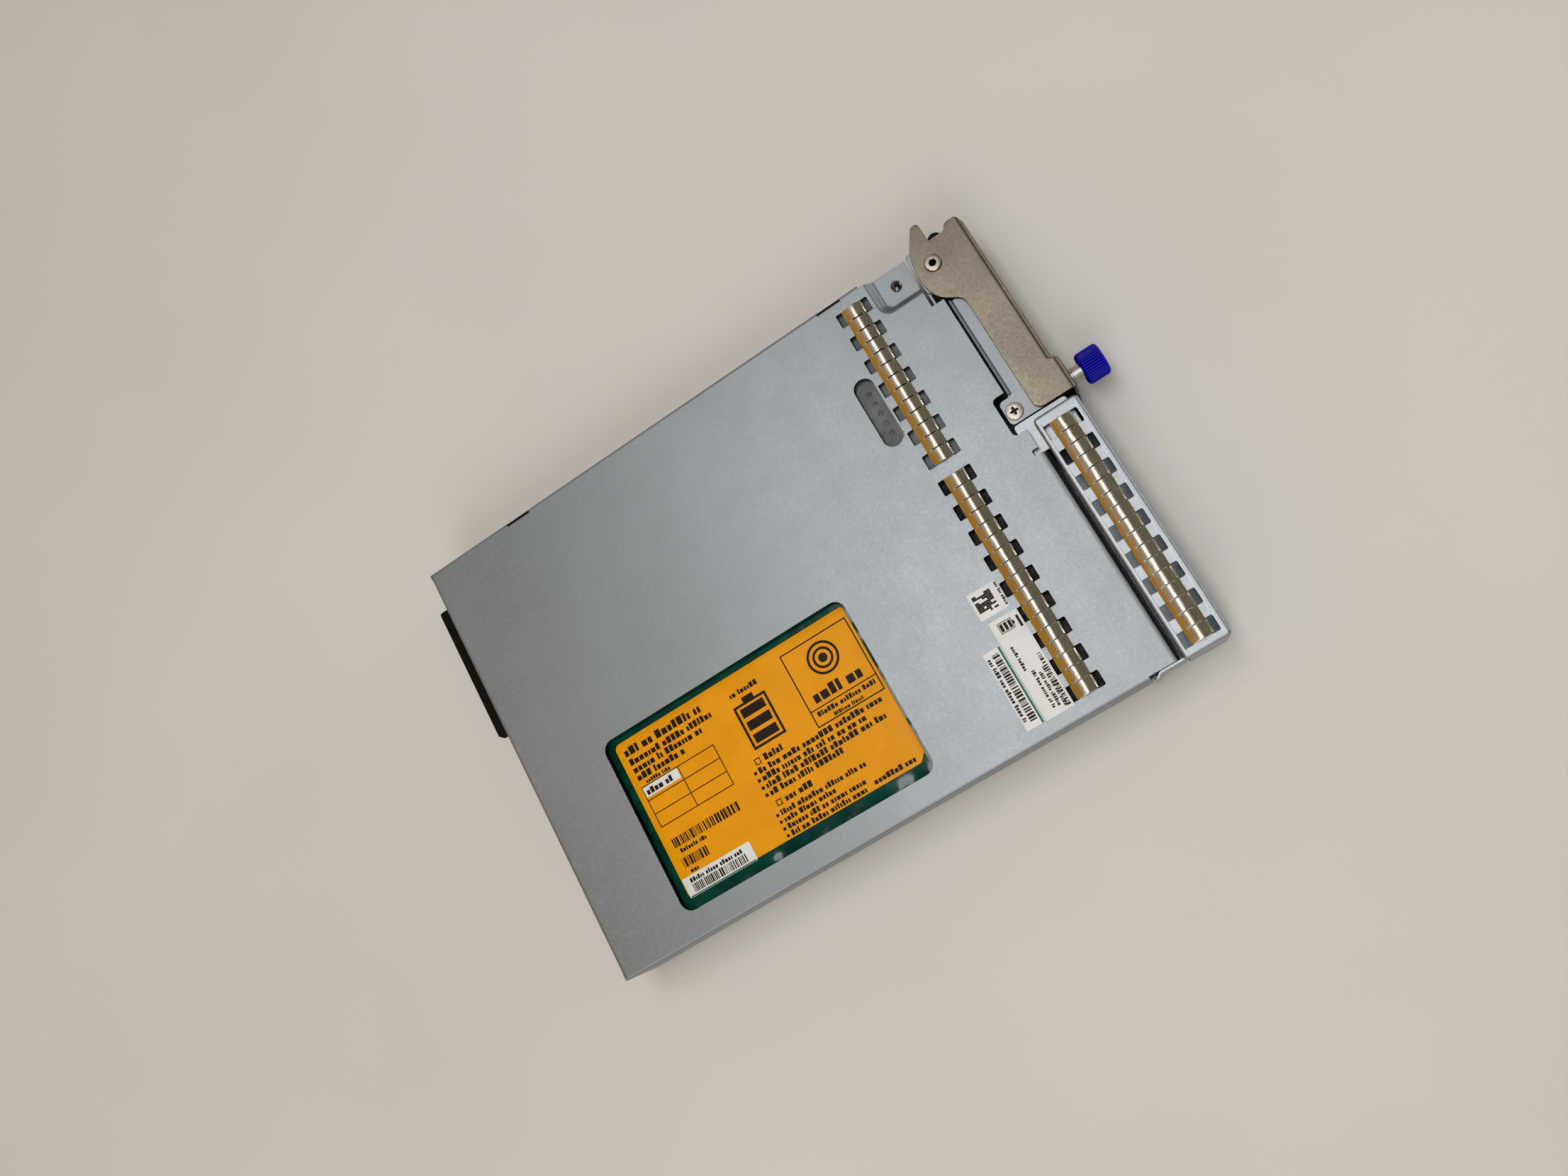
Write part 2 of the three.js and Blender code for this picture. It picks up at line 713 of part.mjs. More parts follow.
function flatScrew({ x, y }) {
  const top = FLANGE_Z + 0.2;
  const shank = [[0, top - 6], [1.4, top - 6], [1.4, top]];
  const head = [[2.9, top], [2.9, top + 0.5], [2.6, top + 0.75], [0, top + 0.75]];
  return cut(
    turnedZ([...shank, ...head], x, y),
    block([x - 1.5, x + 1.5], [y - 0.3, y + 0.3], [top + 0.2, top + 2]),
    block([x - 0.3, x + 0.3], [y - 1.5, y + 1.5], [top + 0.2, top + 2]),
  );
}

// ---- Rear connector ----

function connectorShell() {
  const rim = PLUG.rim;
  const mouth = block(
    [PLUG.x[0] - 1, PLUG.x[0] + PLUG.mouth],
    [PLUG.y[0] + 2, PLUG.y[1] - 2],
    [PLUG.z[0] + rim, PLUG.z[1] - rim],
  );
  const holes = PLUG_HOLES.map((y) => block([-113.4, -112.3], [y - 0.55, y + 0.55], [0, HEIGHT]));
  const corner = outline([
    [PLUG.x[0] - 1, PLUG.y[0] - 1],
    [-111.5, PLUG.y[0] - 1],
    [PLUG.x[0] - 1, PLUG.y[0] + 1.6],
  ]);
  return cut(block(PLUG.x, PLUG.y, PLUG.z), mouth, plate(corner, [0, HEIGHT]), ...holes);
}

// A carrier bar at the back of the mouth with one blade for each contact
function connectorContacts() {
  const back = PLUG.x[0] + PLUG.mouth - GAP;
  const floor = PLUG.z[0] + PLUG.rim + GAP;
  const from = PLUG.y[0] + 5;
  const step = (PLUG.y[1] - PLUG.y[0] - 10) / (CONTACTS - 1);
  const blades = [];
  for (let i = 0; i < CONTACTS; i++) {
    const y = from + i * step;
    blades.push(block([PLUG.x[0] + 0.8, back], [y - 0.6, y + 0.6], [floor, floor + 0.3]));
  }
  const bar = block([back - 0.3, back], [from - 1, PLUG.y[1] - 4], [floor, floor + 2.3]);
  return join(bar, ...blades);
}

// ---- Battery pack ----

function cellX(i) {
  return CELL.x + (i - (CELLS - 1) / 2) * CELL.pitch;
}

function cell(i) {
  const half = CELL.length / 2;
  const body = rodY(CELL.r, cellX(i), [CELL.y - half, CELL.y + half - 1.2], CELL.z, 24);
  const capEnd = rodY(3, cellX(i), [CELL.y + half - 2, CELL.y + half], CELL.z, 12);
  const whole = join(body, capEnd);
  return i % 2 ? whole.mirror([0, 1, 0]).translate([0, 2 * CELL.y, 0]) : whole;
}

// Nickel strip on one end of the pack, across the given cells
function link(first, last, side) {
  const at = CELL.y + side * (CELL.length / 2 + GAP);
  const along = [at, at + side * GAP].sort((a, b) => a - b);
  return block([cellX(first) - 3.5, cellX(last) + 3.5], along, [CELL.z - 3, CELL.z + 3]);
}

function packOutline(inset) {
  const half = (CELL.pitch * (CELLS - 1)) / 2 + CELL.r + GAP + SLEEVE.skin - inset;
  const high = CELL.r + GAP + SLEEVE.skin - inset;
  const across = [CELL.x - half, CELL.x + half];
  return roundedRect(across, [CELL.z - high, CELL.z + high], high - 0.01);
}

function sleeve() {
  const along = [CELL.y - SLEEVE.end, CELL.y + SLEEVE.end];
  const beyond = [along[0] - 1, along[1] + 1];
  return cut(run(packOutline(0), along), run(packOutline(SLEEVE.skin), beyond));
}

function endBoard(side) {
  const at = CELL.y + side * (CELL.length / 2 + 3 * GAP);
  const along = [at, at + side * 0.8].sort((a, b) => a - b);
  const board = run(packOutline(SLEEVE.skin + GAP), along);
  const leadSlots = [cellX(0.5), cellX(CELLS - 1.5)].map((x) =>
    block([x - 1.2, x + 1.2], [along[0] - 1, along[1] + 1], [CELL.z + 4, CELL.z + 12]),
  );
  return cut(board, ...leadSlots);
}

function packLabel() {
  const [x0, x1] = LABEL.x;
  const [y0, y1] = LABEL.y;
  const z = CELL.z + CELL.r + GAP + SLEEVE.skin + 0.1;
  const shape = outline([
    [x0, y0],
    [x1 - LABEL.cut, y0],
    [x1, y0 + LABEL.cut],
    [x1, y1],
    [x0, y1],
  ]);
  return plate(shape, [z, z + LABEL.thick]);
}

// ---- Board and its parts ----

function capacitor(x, y) {
  const z = BOARD.z[1] + GAP;
  return turnedZ(
    [[0, z], [5, z], [5, z + 1.6], [4.7, z + 2], [5, z + 2.4], [5, z + 13.6], [4.6, z + 14], [0, z + 14]],
    x,
    y,
    18,
  );
}

function toroid(x, y) {
  const z = BOARD.z[1] + GAP;
  return turnedZ(
    [[4, z + 1], [5, z], [10, z], [11, z + 1], [11, z + 7], [10, z + 8], [5, z + 8], [4, z + 7]],
    x,
    y,
    20,
  );
}

function heatSpreader() {
  const z = BOARD.z[1] + GAP;
  const base = block([-20, 14], [40, 66], [z, z + 2]);
  const fins = [];
  for (let y = 40; y < 66; y += 4.8) {
    fins.push(block([-20, 14], [y, y + 1.6], [z + 1, z + 12]));
  }
  return join(base, ...fins);
}

function boardRail(x) {
  return block([x, x + 6], [BOARD.y[0] + 2, BOARD.y[1] - 2], [SHEET + GAP, BOARD.z[0] - GAP]);
}

function batterySocket() {
  const z = BOARD.z[1] + GAP;
  const body = block([26, 40], [5, 13], [z, z + 7]);
  return cut(body, block([27.2, 38.8], [3, 11], [z + 1.2, z + 5.8]));
}

function batteryPlug() {
  const z = BOARD.z[1] + GAP;
  return block([27.6, 38.4], [2.4, 10.6], [z + 1.6, z + 5.4]);
}

function packLead(cellIndex, start, plugX) {
  const x = cellX(cellIndex);
  const z = CELL.z + 7.2;
  const out = CELL.y + SLEEVE.end + 1.6;
  const plug = BOARD.z[1] + GAP + 3.5;
  const corner = (x + plugX) / 2;
  const points = [
    [x, start, z],
    [x, out - 1.6, z],
    [x + Math.sign(plugX - x) * 1.6, out, z],
    [corner, out, z],
    [plugX - Math.sign(plugX - x) * 2, out, plug + 1],
    [plugX, out + 0.3, plug],
    [plugX, 2.1, plug],
  ];
  return wire(points, 0.75, 8, 30);
}

// ---- Assembly ----

add("top_cover", topCover(), ZINC);
add("bottom_tray", bottomTray(), ZINC);
add("front_bezel", frontBezel(), BRIGHT_ZINC);
add("lever_bracket", leverBracket(), ZINC);
add("lever", lever(), NICKEL);
add("lever_rivet", leverRivet(), TIN);
add("thumbscrew_ferrule", ferrule(), TIN);
add("thumbscrew_shaft", shaft(), STEEL);
add("thumbscrew_knob", knob(), BLUE);
add("thumbscrew_spring", spring(), STEEL);
add("clinch_nut", clinchNut(), STEEL);
add("gasket_upper", gasket(UPPER_STRIP), TIN);
add("gasket_lower", gasket(LOWER_STRIP), TIN);
add("gasket_bezel", gasket(BEZEL_STRIP), TIN);
add("corner_screw", domedScrew(CORNER_SCREW), STEEL);
add("bracket_screw", flatScrew(TAB_SCREW), NICKEL);

add("connector_shell", connectorShell(), BLACK);
add("connector_contacts_lower", connectorContacts(), COPPER);
add("connector_contacts_upper", flipped(connectorContacts()), COPPER);

for (let i = 0; i < CELLS; i++) {
  add(`battery_cell_${i + 1}`, cell(i), STEEL);
}
for (let i = 0; i + 1 < CELLS; i++) {
  add(`cell_link_${i + 1}`, link(i, i + 1, i % 2 ? -1 : 1), NICKEL);
}
add("positive_tab", link(0, 0, -1), NICKEL);
add("negative_tab", link(CELLS - 1, CELLS - 1, 1), NICKEL);
add("pack_sleeve", sleeve(), GREEN_FILM);
add("pack_end_board_inner", endBoard(1), FISH_PAPER);
add("pack_end_board_outer", endBoard(-1), FISH_PAPER);
add("pack_label", packLabel(), ORANGE_PAPER);
add("foam_pad_rear", block([-80, -50], [-68, -8], [SHEET + 0.2, 2.3]), FOAM);
add("foam_pad_front", block([38, 68], [-68, -8], [SHEET + 0.2, 2.3]), FOAM);
add("thermistor", rodY(1.2, cellX(3.5), [CELL.y - 4, CELL.y + 4], CELL.z + 7.2, 10), BLACK);
add("positive_lead", packLead(0.5, CELL.y - CELL.length / 2 + 1, 30), RED_WIRE);
add("negative_lead", packLead(CELLS - 1.5, CELL.y + CELL.length / 2 - 6, 36), BLACK_WIRE);

add("control_board", block(BOARD.x, BOARD.y, BOARD.z), BOARD_GREEN);
add("board_rail_rear", boardRail(-96), IVORY);
add("board_rail_front", boardRail(48), IVORY);
add("power_inductor", toroid(-42, 52), COPPER);
[-72, -60].forEach((x, i) => add(`capacitor_${i + 1}`, capacitor(x, 58), BLACK));
add("heat_spreader", heatSpreader(), STEEL);
add("controller_chip", block([-10, 4], [16, 30], [BOARD.z[1] + 0.2, BOARD.z[1] + 1.8]), BLACK);
add("battery_socket", batterySocket(), IVORY);
add("battery_plug", batteryPlug(), IVORY);
add("insulator_sheet", block([46, 87], [11, 61.5], [FLANGE_Z - 0.2, FLANGE_Z + 0.3]), GREY_FILM);

export default canister;
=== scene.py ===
"""Looks for a plug-in battery canister: sheet metal, finger gaskets, cam lever, thumbscrew and battery pack.

Lengths are in millimetres until a mesh is made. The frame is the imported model's: +X towards the thumbscrew,
+Y towards the lever's pivot, +Z up, origin at the centre of the housing's bottom face.
"""

import json
import math
import random

import bmesh
import bpy
import numpy as np
from mathutils import Euler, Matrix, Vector
from mathutils.geometry import delaunay_2d_cdt


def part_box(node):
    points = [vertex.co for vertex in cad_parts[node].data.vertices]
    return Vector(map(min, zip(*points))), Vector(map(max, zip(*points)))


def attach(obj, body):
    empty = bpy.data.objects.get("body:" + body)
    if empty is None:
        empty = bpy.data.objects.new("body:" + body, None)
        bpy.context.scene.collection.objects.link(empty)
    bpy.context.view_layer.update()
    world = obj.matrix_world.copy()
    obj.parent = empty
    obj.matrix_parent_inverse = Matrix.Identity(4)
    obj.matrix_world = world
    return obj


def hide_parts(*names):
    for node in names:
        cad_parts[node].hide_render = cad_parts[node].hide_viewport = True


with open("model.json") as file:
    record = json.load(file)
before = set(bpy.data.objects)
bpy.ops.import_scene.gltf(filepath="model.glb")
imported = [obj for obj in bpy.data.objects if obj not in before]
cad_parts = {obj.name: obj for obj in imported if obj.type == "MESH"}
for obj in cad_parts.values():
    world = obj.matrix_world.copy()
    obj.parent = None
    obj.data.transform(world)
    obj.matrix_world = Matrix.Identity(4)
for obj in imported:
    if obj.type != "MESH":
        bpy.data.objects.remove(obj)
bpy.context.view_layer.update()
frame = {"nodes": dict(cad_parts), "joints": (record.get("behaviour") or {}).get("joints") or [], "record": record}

MM = 0.001
HOUSING = "housing"
LEVER = "lever"
THUMBSCREW = "thumbscrew"


def node_box(name):
    """A CAD node's ranges in X, Y and Z, in millimetres."""
    low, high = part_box(name)
    return [(round(low[i] / MM, 3), round(high[i] / MM, 3)) for i in range(3)]


# ---- Sizes, read from the frame or as in the part's source ----

(REAR, _), (_, SIDE), (SEAM, TOP) = node_box("top_cover")
SHEET = 1.0
GAP = 0.3
BEND_R = 1.1
EDGE = 0.12  # rounding of a sheared sheet edge
SUNK = 2.6  # depth below the top of the sunk plates: pad floor, bracket shelf and bezel flange

TONGUE_X = 84
TONGUE_CUT = 1.2
COVER_FRONT = 92.9
PAD_FRONT = 88.4
PAD_SIDE = 78.2
PAD_STEP = 71.3
POCKET_Y = 58.4
PAD = {"x": 73.2, "y": 63.9, "depth": SUNK, "slope": (3.4, 3.0), "outer": 4.5, "inner": 2.2}
NOTCH_X = 88.3
NOTCH_Y = (6.6, 20.7)
SLIT_X = 90.5
SLIT_Y = (-2.2, -0.2)
WINDOW_X = (-82.4, 14.2)
WINDOW_Y = (-70.5, -7.4)
SLOT_X = 55.9
SLOT_Y = (25.2, 51)
SLOT_R = 3.5
EDGE_SLOTS = ((-76.6, -67), (55.1, 64.2))

FINGER = 4.75
CLIP_INNER = 3.15
CLIP_OUTER = 5.9
CLIP_LENGTH = 5.1
STRIPS = {name: node_box(name) for name in ("gasket_upper", "gasket_lower", "gasket_bezel")}

JOINTS = {joint["name"]: joint for joint in frame["joints"]}
PIVOT_AT = tuple(c / MM for c in JOINTS["lever_pivot"]["pos_m"][:2])
SCREW_AT = tuple(c / MM for c in JOINTS["thumbscrew_spin"]["pos_m"][1:])


# ---- Camera, floor and light ----

CAMERA_AT = (85.02, -96.61, 422.8)
CAMERA_TURN = (6.275, 17.382, -29.852)  # degrees
LENS = 29.295
SENSOR = 36
ROOM_REAR = (0.66, 0.38, 0.13)
ROOM_FRONT = (0.30, 0.29, 0.25)
ROOM_RAMP = ((0.10, ROOM_REAR), (0.22, (0.62, 0.65, 0.67)), (0.55, (0.72, 0.75, 0.77)), (0.80, ROOM_FRONT))
ROOM_HORIZON = (0.74, 0.73, 0.71)
ROOM_STRENGTH = 0.62
FLOOR_HALF = 20  # metres, far enough to meet the horizon in a low view
FLOOR_DROP = 0.0004  # metres below the part, so that the two don't share a plane


def make_camera():
    data = bpy.data.cameras.new("camera")
    data.sensor_fit = "HORIZONTAL"
    data.sensor_width = SENSOR
    data.lens = LENS
    data.clip_start = 0.01
    camera = bpy.data.objects.new("camera", data)
    camera.location = Vector(CAMERA_AT) * MM
    camera.rotation_euler = Euler([math.radians(a) for a in CAMERA_TURN], "XYZ")
    bpy.context.scene.collection.objects.link(camera)
    bpy.context.scene.camera = camera


def area_light(name, at, aim, size, power, color):
    data = bpy.data.lights.new(name, "AREA")
    data.shape = "RECTANGLE"
    data.size, data.size_y = size
    data.energy = power
    data.color = color
    light = bpy.data.objects.new(name, data)
    light.location = at
    light.rotation_euler = (Vector(aim) - Vector(at)).to_track_quat("-Z", "Y").to_euler()
    bpy.context.scene.collection.objects.link(light)


def map_range(tree, low, high):
    made = tree.nodes.new("ShaderNodeMapRange")
    made.inputs["From Min"].default_value = low
    made.inputs["From Max"].default_value = high
    return made


def make_lights():
    """A long soft key overhead, a fill and a low rim light at the front."""
    area_light("key", (0.0, 0.07, 1.0), (-0.02, 0.07, 0), (0.85, 0.28), 3.4, (1, 0.985, 0.96))
    area_light("fill", (-0.3, -0.9, 0.9), (0, 0, 0), (0.7, 0.7), 3, (1, 0.97, 0.93))
    area_light("rim", (0.9, 0.15, 0.22), (0.1, 0.02, 0.02), (0.7, 0.12), 1.3, (1, 0.98, 0.95))


def make_room():
    """A dim room: warm at the rear, grey overhead, dark at the front, pale all round near the horizon."""
    world = bpy.data.worlds.new("studio")
    world.use_nodes = True
    tree = world.node_tree
    back = tree.nodes["Background"]
    where = tree.nodes.new("ShaderNodeTexCoord")
    split = tree.nodes.new("ShaderNodeSeparateXYZ")
    ramp = tree.nodes.new("ShaderNodeValToRGB")
    span = map_range(tree, -0.8, 0.8)
    ramp.color_ramp.elements[0].color = (*ROOM_REAR, 1)
    ramp.color_ramp.elements[1].color = (*ROOM_FRONT, 1)
    for at, color in ROOM_RAMP:
        ramp.color_ramp.elements.new(at).color = (*color, 1)
    tree.links.new(where.outputs["Generated"], split.inputs[0])
    tree.links.new(split.outputs["X"], span.inputs["Value"])
    tree.links.new(span.outputs["Result"], ramp.inputs[0])
    rise = map_range(tree, 0.1, 0.35)
    wall = tree.nodes.new("ShaderNodeMix")
    wall.data_type = "RGBA"
    wall.inputs[6].default_value = (*ROOM_HORIZON, 1)
    tree.links.new(split.outputs["Z"], rise.inputs["Value"])
    tree.links.new(rise.outputs["Result"], wall.inputs["Factor"])
    tree.links.new(ramp.outputs[0], wall.inputs[7])
    tree.links.new(wall.outputs[2], back.inputs["Color"])
    back.inputs["Strength"].default_value = ROOM_STRENGTH
    bpy.context.scene.world = world
    bpy.context.scene.view_settings.view_transform = "Khronos PBR Neutral"


def make_floor():
    mesh = bpy.data.meshes.new("floor")
    corners = [(FLOOR_HALF * x, FLOOR_HALF * y, 0) for x, y in ((-1, -1), (1, -1), (1, 1), (-1, 1))]
    mesh.from_pydata(corners, [], [(0, 1, 2, 3)])
    floor = bpy.data.objects.new("floor", mesh)
    floor.location.z = -FLOOR_DROP
    bpy.context.scene.collection.objects.link(floor)
    mesh.materials.append(FLOOR)


# ---- Materials ----

class Shader:
    """One procedural material around a Principled shader, in the piece's own space."""

    def __init__(self, name, color, rough, metal=0.0, **sockets):
        self.material = bpy.data.materials.new(name)
        self.material.use_nodes = True
        self.tree = self.material.node_tree
        self.shader = self.tree.nodes["Principled BSDF"]
        self.where = self.node("ShaderNodeTexCoord").outputs["Object"]
        self.set("Base Color", (*color, 1))
        self.set("Roughness", rough)
        self.set("Metallic", metal)
        for socket, value in sockets.items():
            self.set(socket.replace("_", " ").title().replace("Ior", "IOR"), value)

    def node(self, kind, **inputs):
        made = self.tree.nodes.new(kind)
        for socket, value in inputs.items():
            self.feed(made.inputs[socket.replace("_", " ")], value)
        return made

    def feed(self, socket, value):
        if isinstance(value, bpy.types.NodeSocket):
            self.tree.links.new(value, socket)
        else:
            socket.default_value = value

    def set(self, socket, value):
        self.feed(self.shader.inputs[socket], value)

    def clouded(self, color, share, size, detail):
        """Base colour that drifts between a darker and a lighter version of color."""
        cloud = self.spread(self.noise(size, detail), 0.35, 0.65)
        self.set("Base Color", self.mix(cloud, *shades(color, share)))

    def worn(self, size, detail, low, high):
        """Roughness that drifts between low and high."""
        self.set("Roughness", self.spread(self.noise(size, detail), 0.3, 0.7, low, high))

    def stretched(self, scale):
        return self.node("ShaderNodeMapping", Vector=self.where, Scale=scale).outputs[0]

    def noise(self, size, detail=2.0, stretch=None, sharp=0.5):
        """Noise with features of about size millimetres."""
        source = self.stretched(stretch) if stretch else self.where
        scale = 1 / (size * MM)
        made = self.node("ShaderNodeTexNoise", Vector=source, Scale=scale, Detail=detail, Roughness=sharp)
        return made.outputs["Fac"]

    def cells(self, size, feature="F1", output="Distance"):
        made = self.node("ShaderNodeTexVoronoi", Vector=self.where, Scale=1 / (size * MM))
        made.feature = feature
        return made.outputs[output]

    def spread(self, value, low, high, to_low=0.0, to_high=1.0):
        made = self.node("ShaderNodeMapRange", Value=value)
        names = ("From Min", "From Max", "To Min", "To Max")
        for name, number in zip(names, (low, high, to_low, to_high)):
            made.inputs[name].default_value = number
        return made.outputs["Result"]

    def math(self, kind, a, b):
        made = self.node("ShaderNodeMath")
        made.operation = kind
        self.feed(made.inputs[0], a)
        self.feed(made.inputs[1], b)
        return made.outputs[0]

    def mix(self, share, a, b):
        """Colour a where share is 0, and b where it is 1."""
        made = self.node("ShaderNodeMix")
        made.data_type = "RGBA"
        self.feed(made.inputs["Factor"], share)
        self.feed(made.inputs[6], (*a, 1) if isinstance(a, tuple) else a)
        self.feed(made.inputs[7], (*b, 1) if isinstance(b, tuple) else b)
        return made.outputs[2]

    def bump(self, height, depth):
        """Relief of depth millimetres; a later call adds to an earlier one."""
        made = self.node("ShaderNodeBump", Height=height, Distance=depth * MM)
        old = self.shader.inputs["Normal"]
        if old.is_linked:
            self.tree.links.new(old.links[0].from_socket, made.inputs["Normal"])
        self.tree.links.new(made.outputs[0], old)


def shades(color, share):
    """A darker and a lighter version of a colour."""
    return tuple(c * (1 - share) for c in color), tuple(min(1, c * (1 + share)) for c in color)


def zinc(name, color, rough, spangle):
    """Zinc-coated sheet: soft crystal spangle, cloudy patches, fine grain and a few rubbed scratches."""
    s = Shader(name, color, rough, 0.85)
    low, high = shades(color, 0.04)
    cloud = s.spread(s.noise(40, 2), 0.35, 0.65)
    crystal = s.cells(0.55, output="Color")
    value = s.node("ShaderNodeSeparateColor", Color=crystal).outputs[0]
    base = s.mix(cloud, low, high)
    glint_low, glint_high = shades(color, spangle)
    base = s.mix(s.spread(value, 0.2, 0.9, 0, 0.55), base, s.mix(value, glint_low, glint_high))
    scratch = s.spread(s.noise(0.7, 1, (1.0, 0.035, 1.0)), 0.66, 0.74)
    rubbed = s.math("MULTIPLY", scratch, s.spread(s.noise(30, 2), 0.5, 0.62))
    base = s.mix(s.math("MULTIPLY", rubbed, 0.14), base, shades(color, 0.35)[1])
    s.set("Base Color", base)
    grain = s.math("ADD", s.spread(value, 0, 1, 0, 0.06), s.spread(s.noise(9, 3), 0.3, 0.7, -0.012, 0.012))
    s.set("Roughness", s.math("ADD", grain, rough - 0.03))
    s.bump(s.noise(0.35, 2), 0.008)
    s.bump(s.noise(18, 1), 0.012)
    return s.material


def nickel_plate():
    """Matte nickel over steel: warm, finely pitted, with a darker cloudy tarnish and small rubbed spots."""
    color = (0.26, 0.228, 0.187)
    s = Shader("nickel_plate", color, 0.4, 0.95)
    low, high = shades(color, 0.12)
    base = s.mix(s.spread(s.noise(14, 3), 0.32, 0.68), low, high)
    pits = s.spread(s.noise(0.35, 2), 0.38, 0.62)
    base = s.mix(s.math("MULTIPLY", pits, 0.34), base, (0.15, 0.13, 0.105))
    spots = s.spread(s.cells(2.6), 0.0, 0.10, 1, 0)
    rare = s.math("MULTIPLY", spots, s.spread(s.noise(9, 1), 0.52, 0.6))
    base = s.mix(s.math("MULTIPLY", rare, 0.5), base, (0.6, 0.55, 0.47))
    s.set("Base Color", base)
    s.worn(1.2, 3, 0.36, 0.46)
    s.bump(s.noise(0.3, 2), 0.012)
    return s.material


def bright_tin():
    """Bright tin-plated spring strip, with faint drawn lines along it and handling haze."""
    color = (0.78, 0.72, 0.62)
    s = Shader("bright_tin", color, 0.16, 1.0)
    low, high = shades(color, 0.07)
    lines = s.noise(0.4, 2, (1.0, 0.03, 1.0))
    s.set("Base Color", s.mix(s.spread(lines, 0.35, 0.65), low, high))
    haze = s.spread(s.noise(5, 3), 0.4, 0.75, 0.10, 0.22)
    s.set("Roughness", haze)
    s.bump(lines, 0.004)
    return s.material


def turned_steel(name, color, rough):
    """Plain machined or drawn steel."""
    s = Shader(name, color, rough, 1.0)
    s.clouded(color, 0.12, 3, 3)
    s.worn(0.8, 3, rough - 0.05, rough + 0.07)
    s.bump(s.noise(0.25, 2, (1.0, 1.0, 0.2)), 0.006)
    return s.material


def plastic(name, color, rough, grain=0.4, depth=0.010):
    """Moulded plastic with a fine spark-eroded texture and faint rub marks."""
    s = Shader(name, color, rough, 0.0)
    s.clouded(color, 0.16, 4, 3)
    s.worn(2, 3, rough - 0.06, rough + 0.08)
    s.bump(s.noise(grain, 2), depth)
    return s.material


def shrink_film():
    """Dark green heat-shrink film, glossy, with fine draw lines."""
    color = (0.0015, 0.050, 0.036)
    s = Shader("shrink_film", color, 0.16, 0.0, coat_weight=0.35, coat_roughness=0.06)
    s.clouded(color, 0.3, 6, 3)
    s.worn(1.5, 3, 0.12, 0.26)
    s.bump(s.noise(3, 3, (1.0, 0.4, 1.0)), 0.03)
    return s.material


def paper(name, color, rough, coat=0.0):
    """Label stock: slight fibre, slight waviness, uneven ink."""
    s = Shader(name, color, rough, 0.0, coat_weight=coat, coat_roughness=0.25)
    s.clouded(color, 0.05, 9, 4)
    s.worn(0.5, 2, rough - 0.05, rough + 0.06)
    s.bump(s.noise(0.3, 2), 0.004)
    s.bump(s.noise(16, 1), 0.10)
    return s.material


def foam_rubber():
    s = Shader("foam_rubber", (0.02, 0.02, 0.021), 0.9, 0.0, sheen_weight=0.2)
    s.set("Base Color", s.mix(s.spread(s.cells(0.8), 0, 0.6), (0.008, 0.008, 0.009), (0.035, 0.035, 0.037)))
    s.bump(s.cells(0.8), 0.25)
    return s.material


def solder_mask():
    """Board green with paler copper tracks under it."""
    s = Shader("solder_mask", (0.008, 0.09, 0.03), 0.32, 0.0, coat_weight=0.2)
    tracks = s.spread(s.cells(3.2, "DISTANCE_TO_EDGE"), 0.06, 0.1)
    s.set("Base Color", s.mix(tracks, (0.02, 0.17, 0.06), (0.006, 0.075, 0.026)))
    s.bump(tracks, 0.03)
    return s.material


def floor_stock():
    s = Shader("floor_stock", (0.78, 0.755, 0.72), 0.62)
    cloud = s.spread(s.noise(160, 3), 0.35, 0.65)
    s.set("Base Color", s.mix(cloud, (0.765, 0.74, 0.705), (0.795, 0.77, 0.735)))
    s.bump(s.noise(0.6, 2), 0.01)
    return s.material


ZINC = zinc("zinc_sheet", (0.33, 0.352, 0.37), 0.47, 0.15)
BRIGHT_ZINC = zinc("bright_zinc", (0.38, 0.405, 0.43), 0.42, 0.36)
NICKEL = nickel_plate()
TIN = bright_tin()
SILVER = turned_steel("silver_plate", (0.52, 0.50, 0.47), 0.22)
STEEL = turned_steel("plain_steel", (0.42, 0.42, 0.43), 0.3)
DARK_CHROME = turned_steel("dark_chrome", (0.22, 0.22, 0.23), 0.16)
SCREW_NICKEL = turned_steel("screw_nickel", (0.40, 0.37, 0.33), 0.36)
COPPER = turned_steel("gold_plate", (0.75, 0.48, 0.18), 0.25)
BLUE = plastic("blue_plastic", (0.02, 0.02, 0.36), 0.42)
BLACK = plastic("black_plastic", (0.008, 0.008, 0.009), 0.5)
IVORY = plastic("ivory_plastic", (0.72, 0.67, 0.55), 0.5)
RED_WIRE = plastic("red_insulation", (0.42, 0.01, 0.01), 0.4, 1.5)
BLACK_WIRE = plastic("black_insulation", (0.01, 0.01, 0.01), 0.4, 1.5)
GREY_FILM = plastic("grey_film", (0.13, 0.142, 0.145), 0.38, 2.0, 0.03)
FISH_PAPER = paper("fish_paper", (0.62, 0.58, 0.42), 0.8)
FILM = shrink_film()
ORANGE = paper("orange_label", (0.90, 0.36, 0.002), 0.5, 0.1)
WHITE = paper("white_label", (0.86, 0.86, 0.855), 0.5, 0.1)
INK = paper("ink", (0.020, 0.013, 0.010), 0.5)
GREEN_INK = paper("green_ink", (0.004, 0.13, 0.06), 0.45)
FOAM = foam_rubber()
BOARD = solder_mask()
FLOOR = floor_stock()

SLOT_LOOKS = {
    "zinc_sheet": ZINC,
    "bright_zinc": BRIGHT_ZINC,
    "nickel": NICKEL,
    "tin": TIN,
    "steel": STEEL,
    "blue_plastic": BLUE,
    "black_plastic": BLACK,
    "copper": COPPER,
    "green_film": FILM,
    "orange_label": ORANGE,
    "board_green": BOARD,
    "grey_film": GREY_FILM,
    "foam": FOAM,
    "fish_paper": FISH_PAPER,
    "red_wire": RED_WIRE,
    "black_wire": BLACK_WIRE,
    "ivory_plastic": IVORY,
}


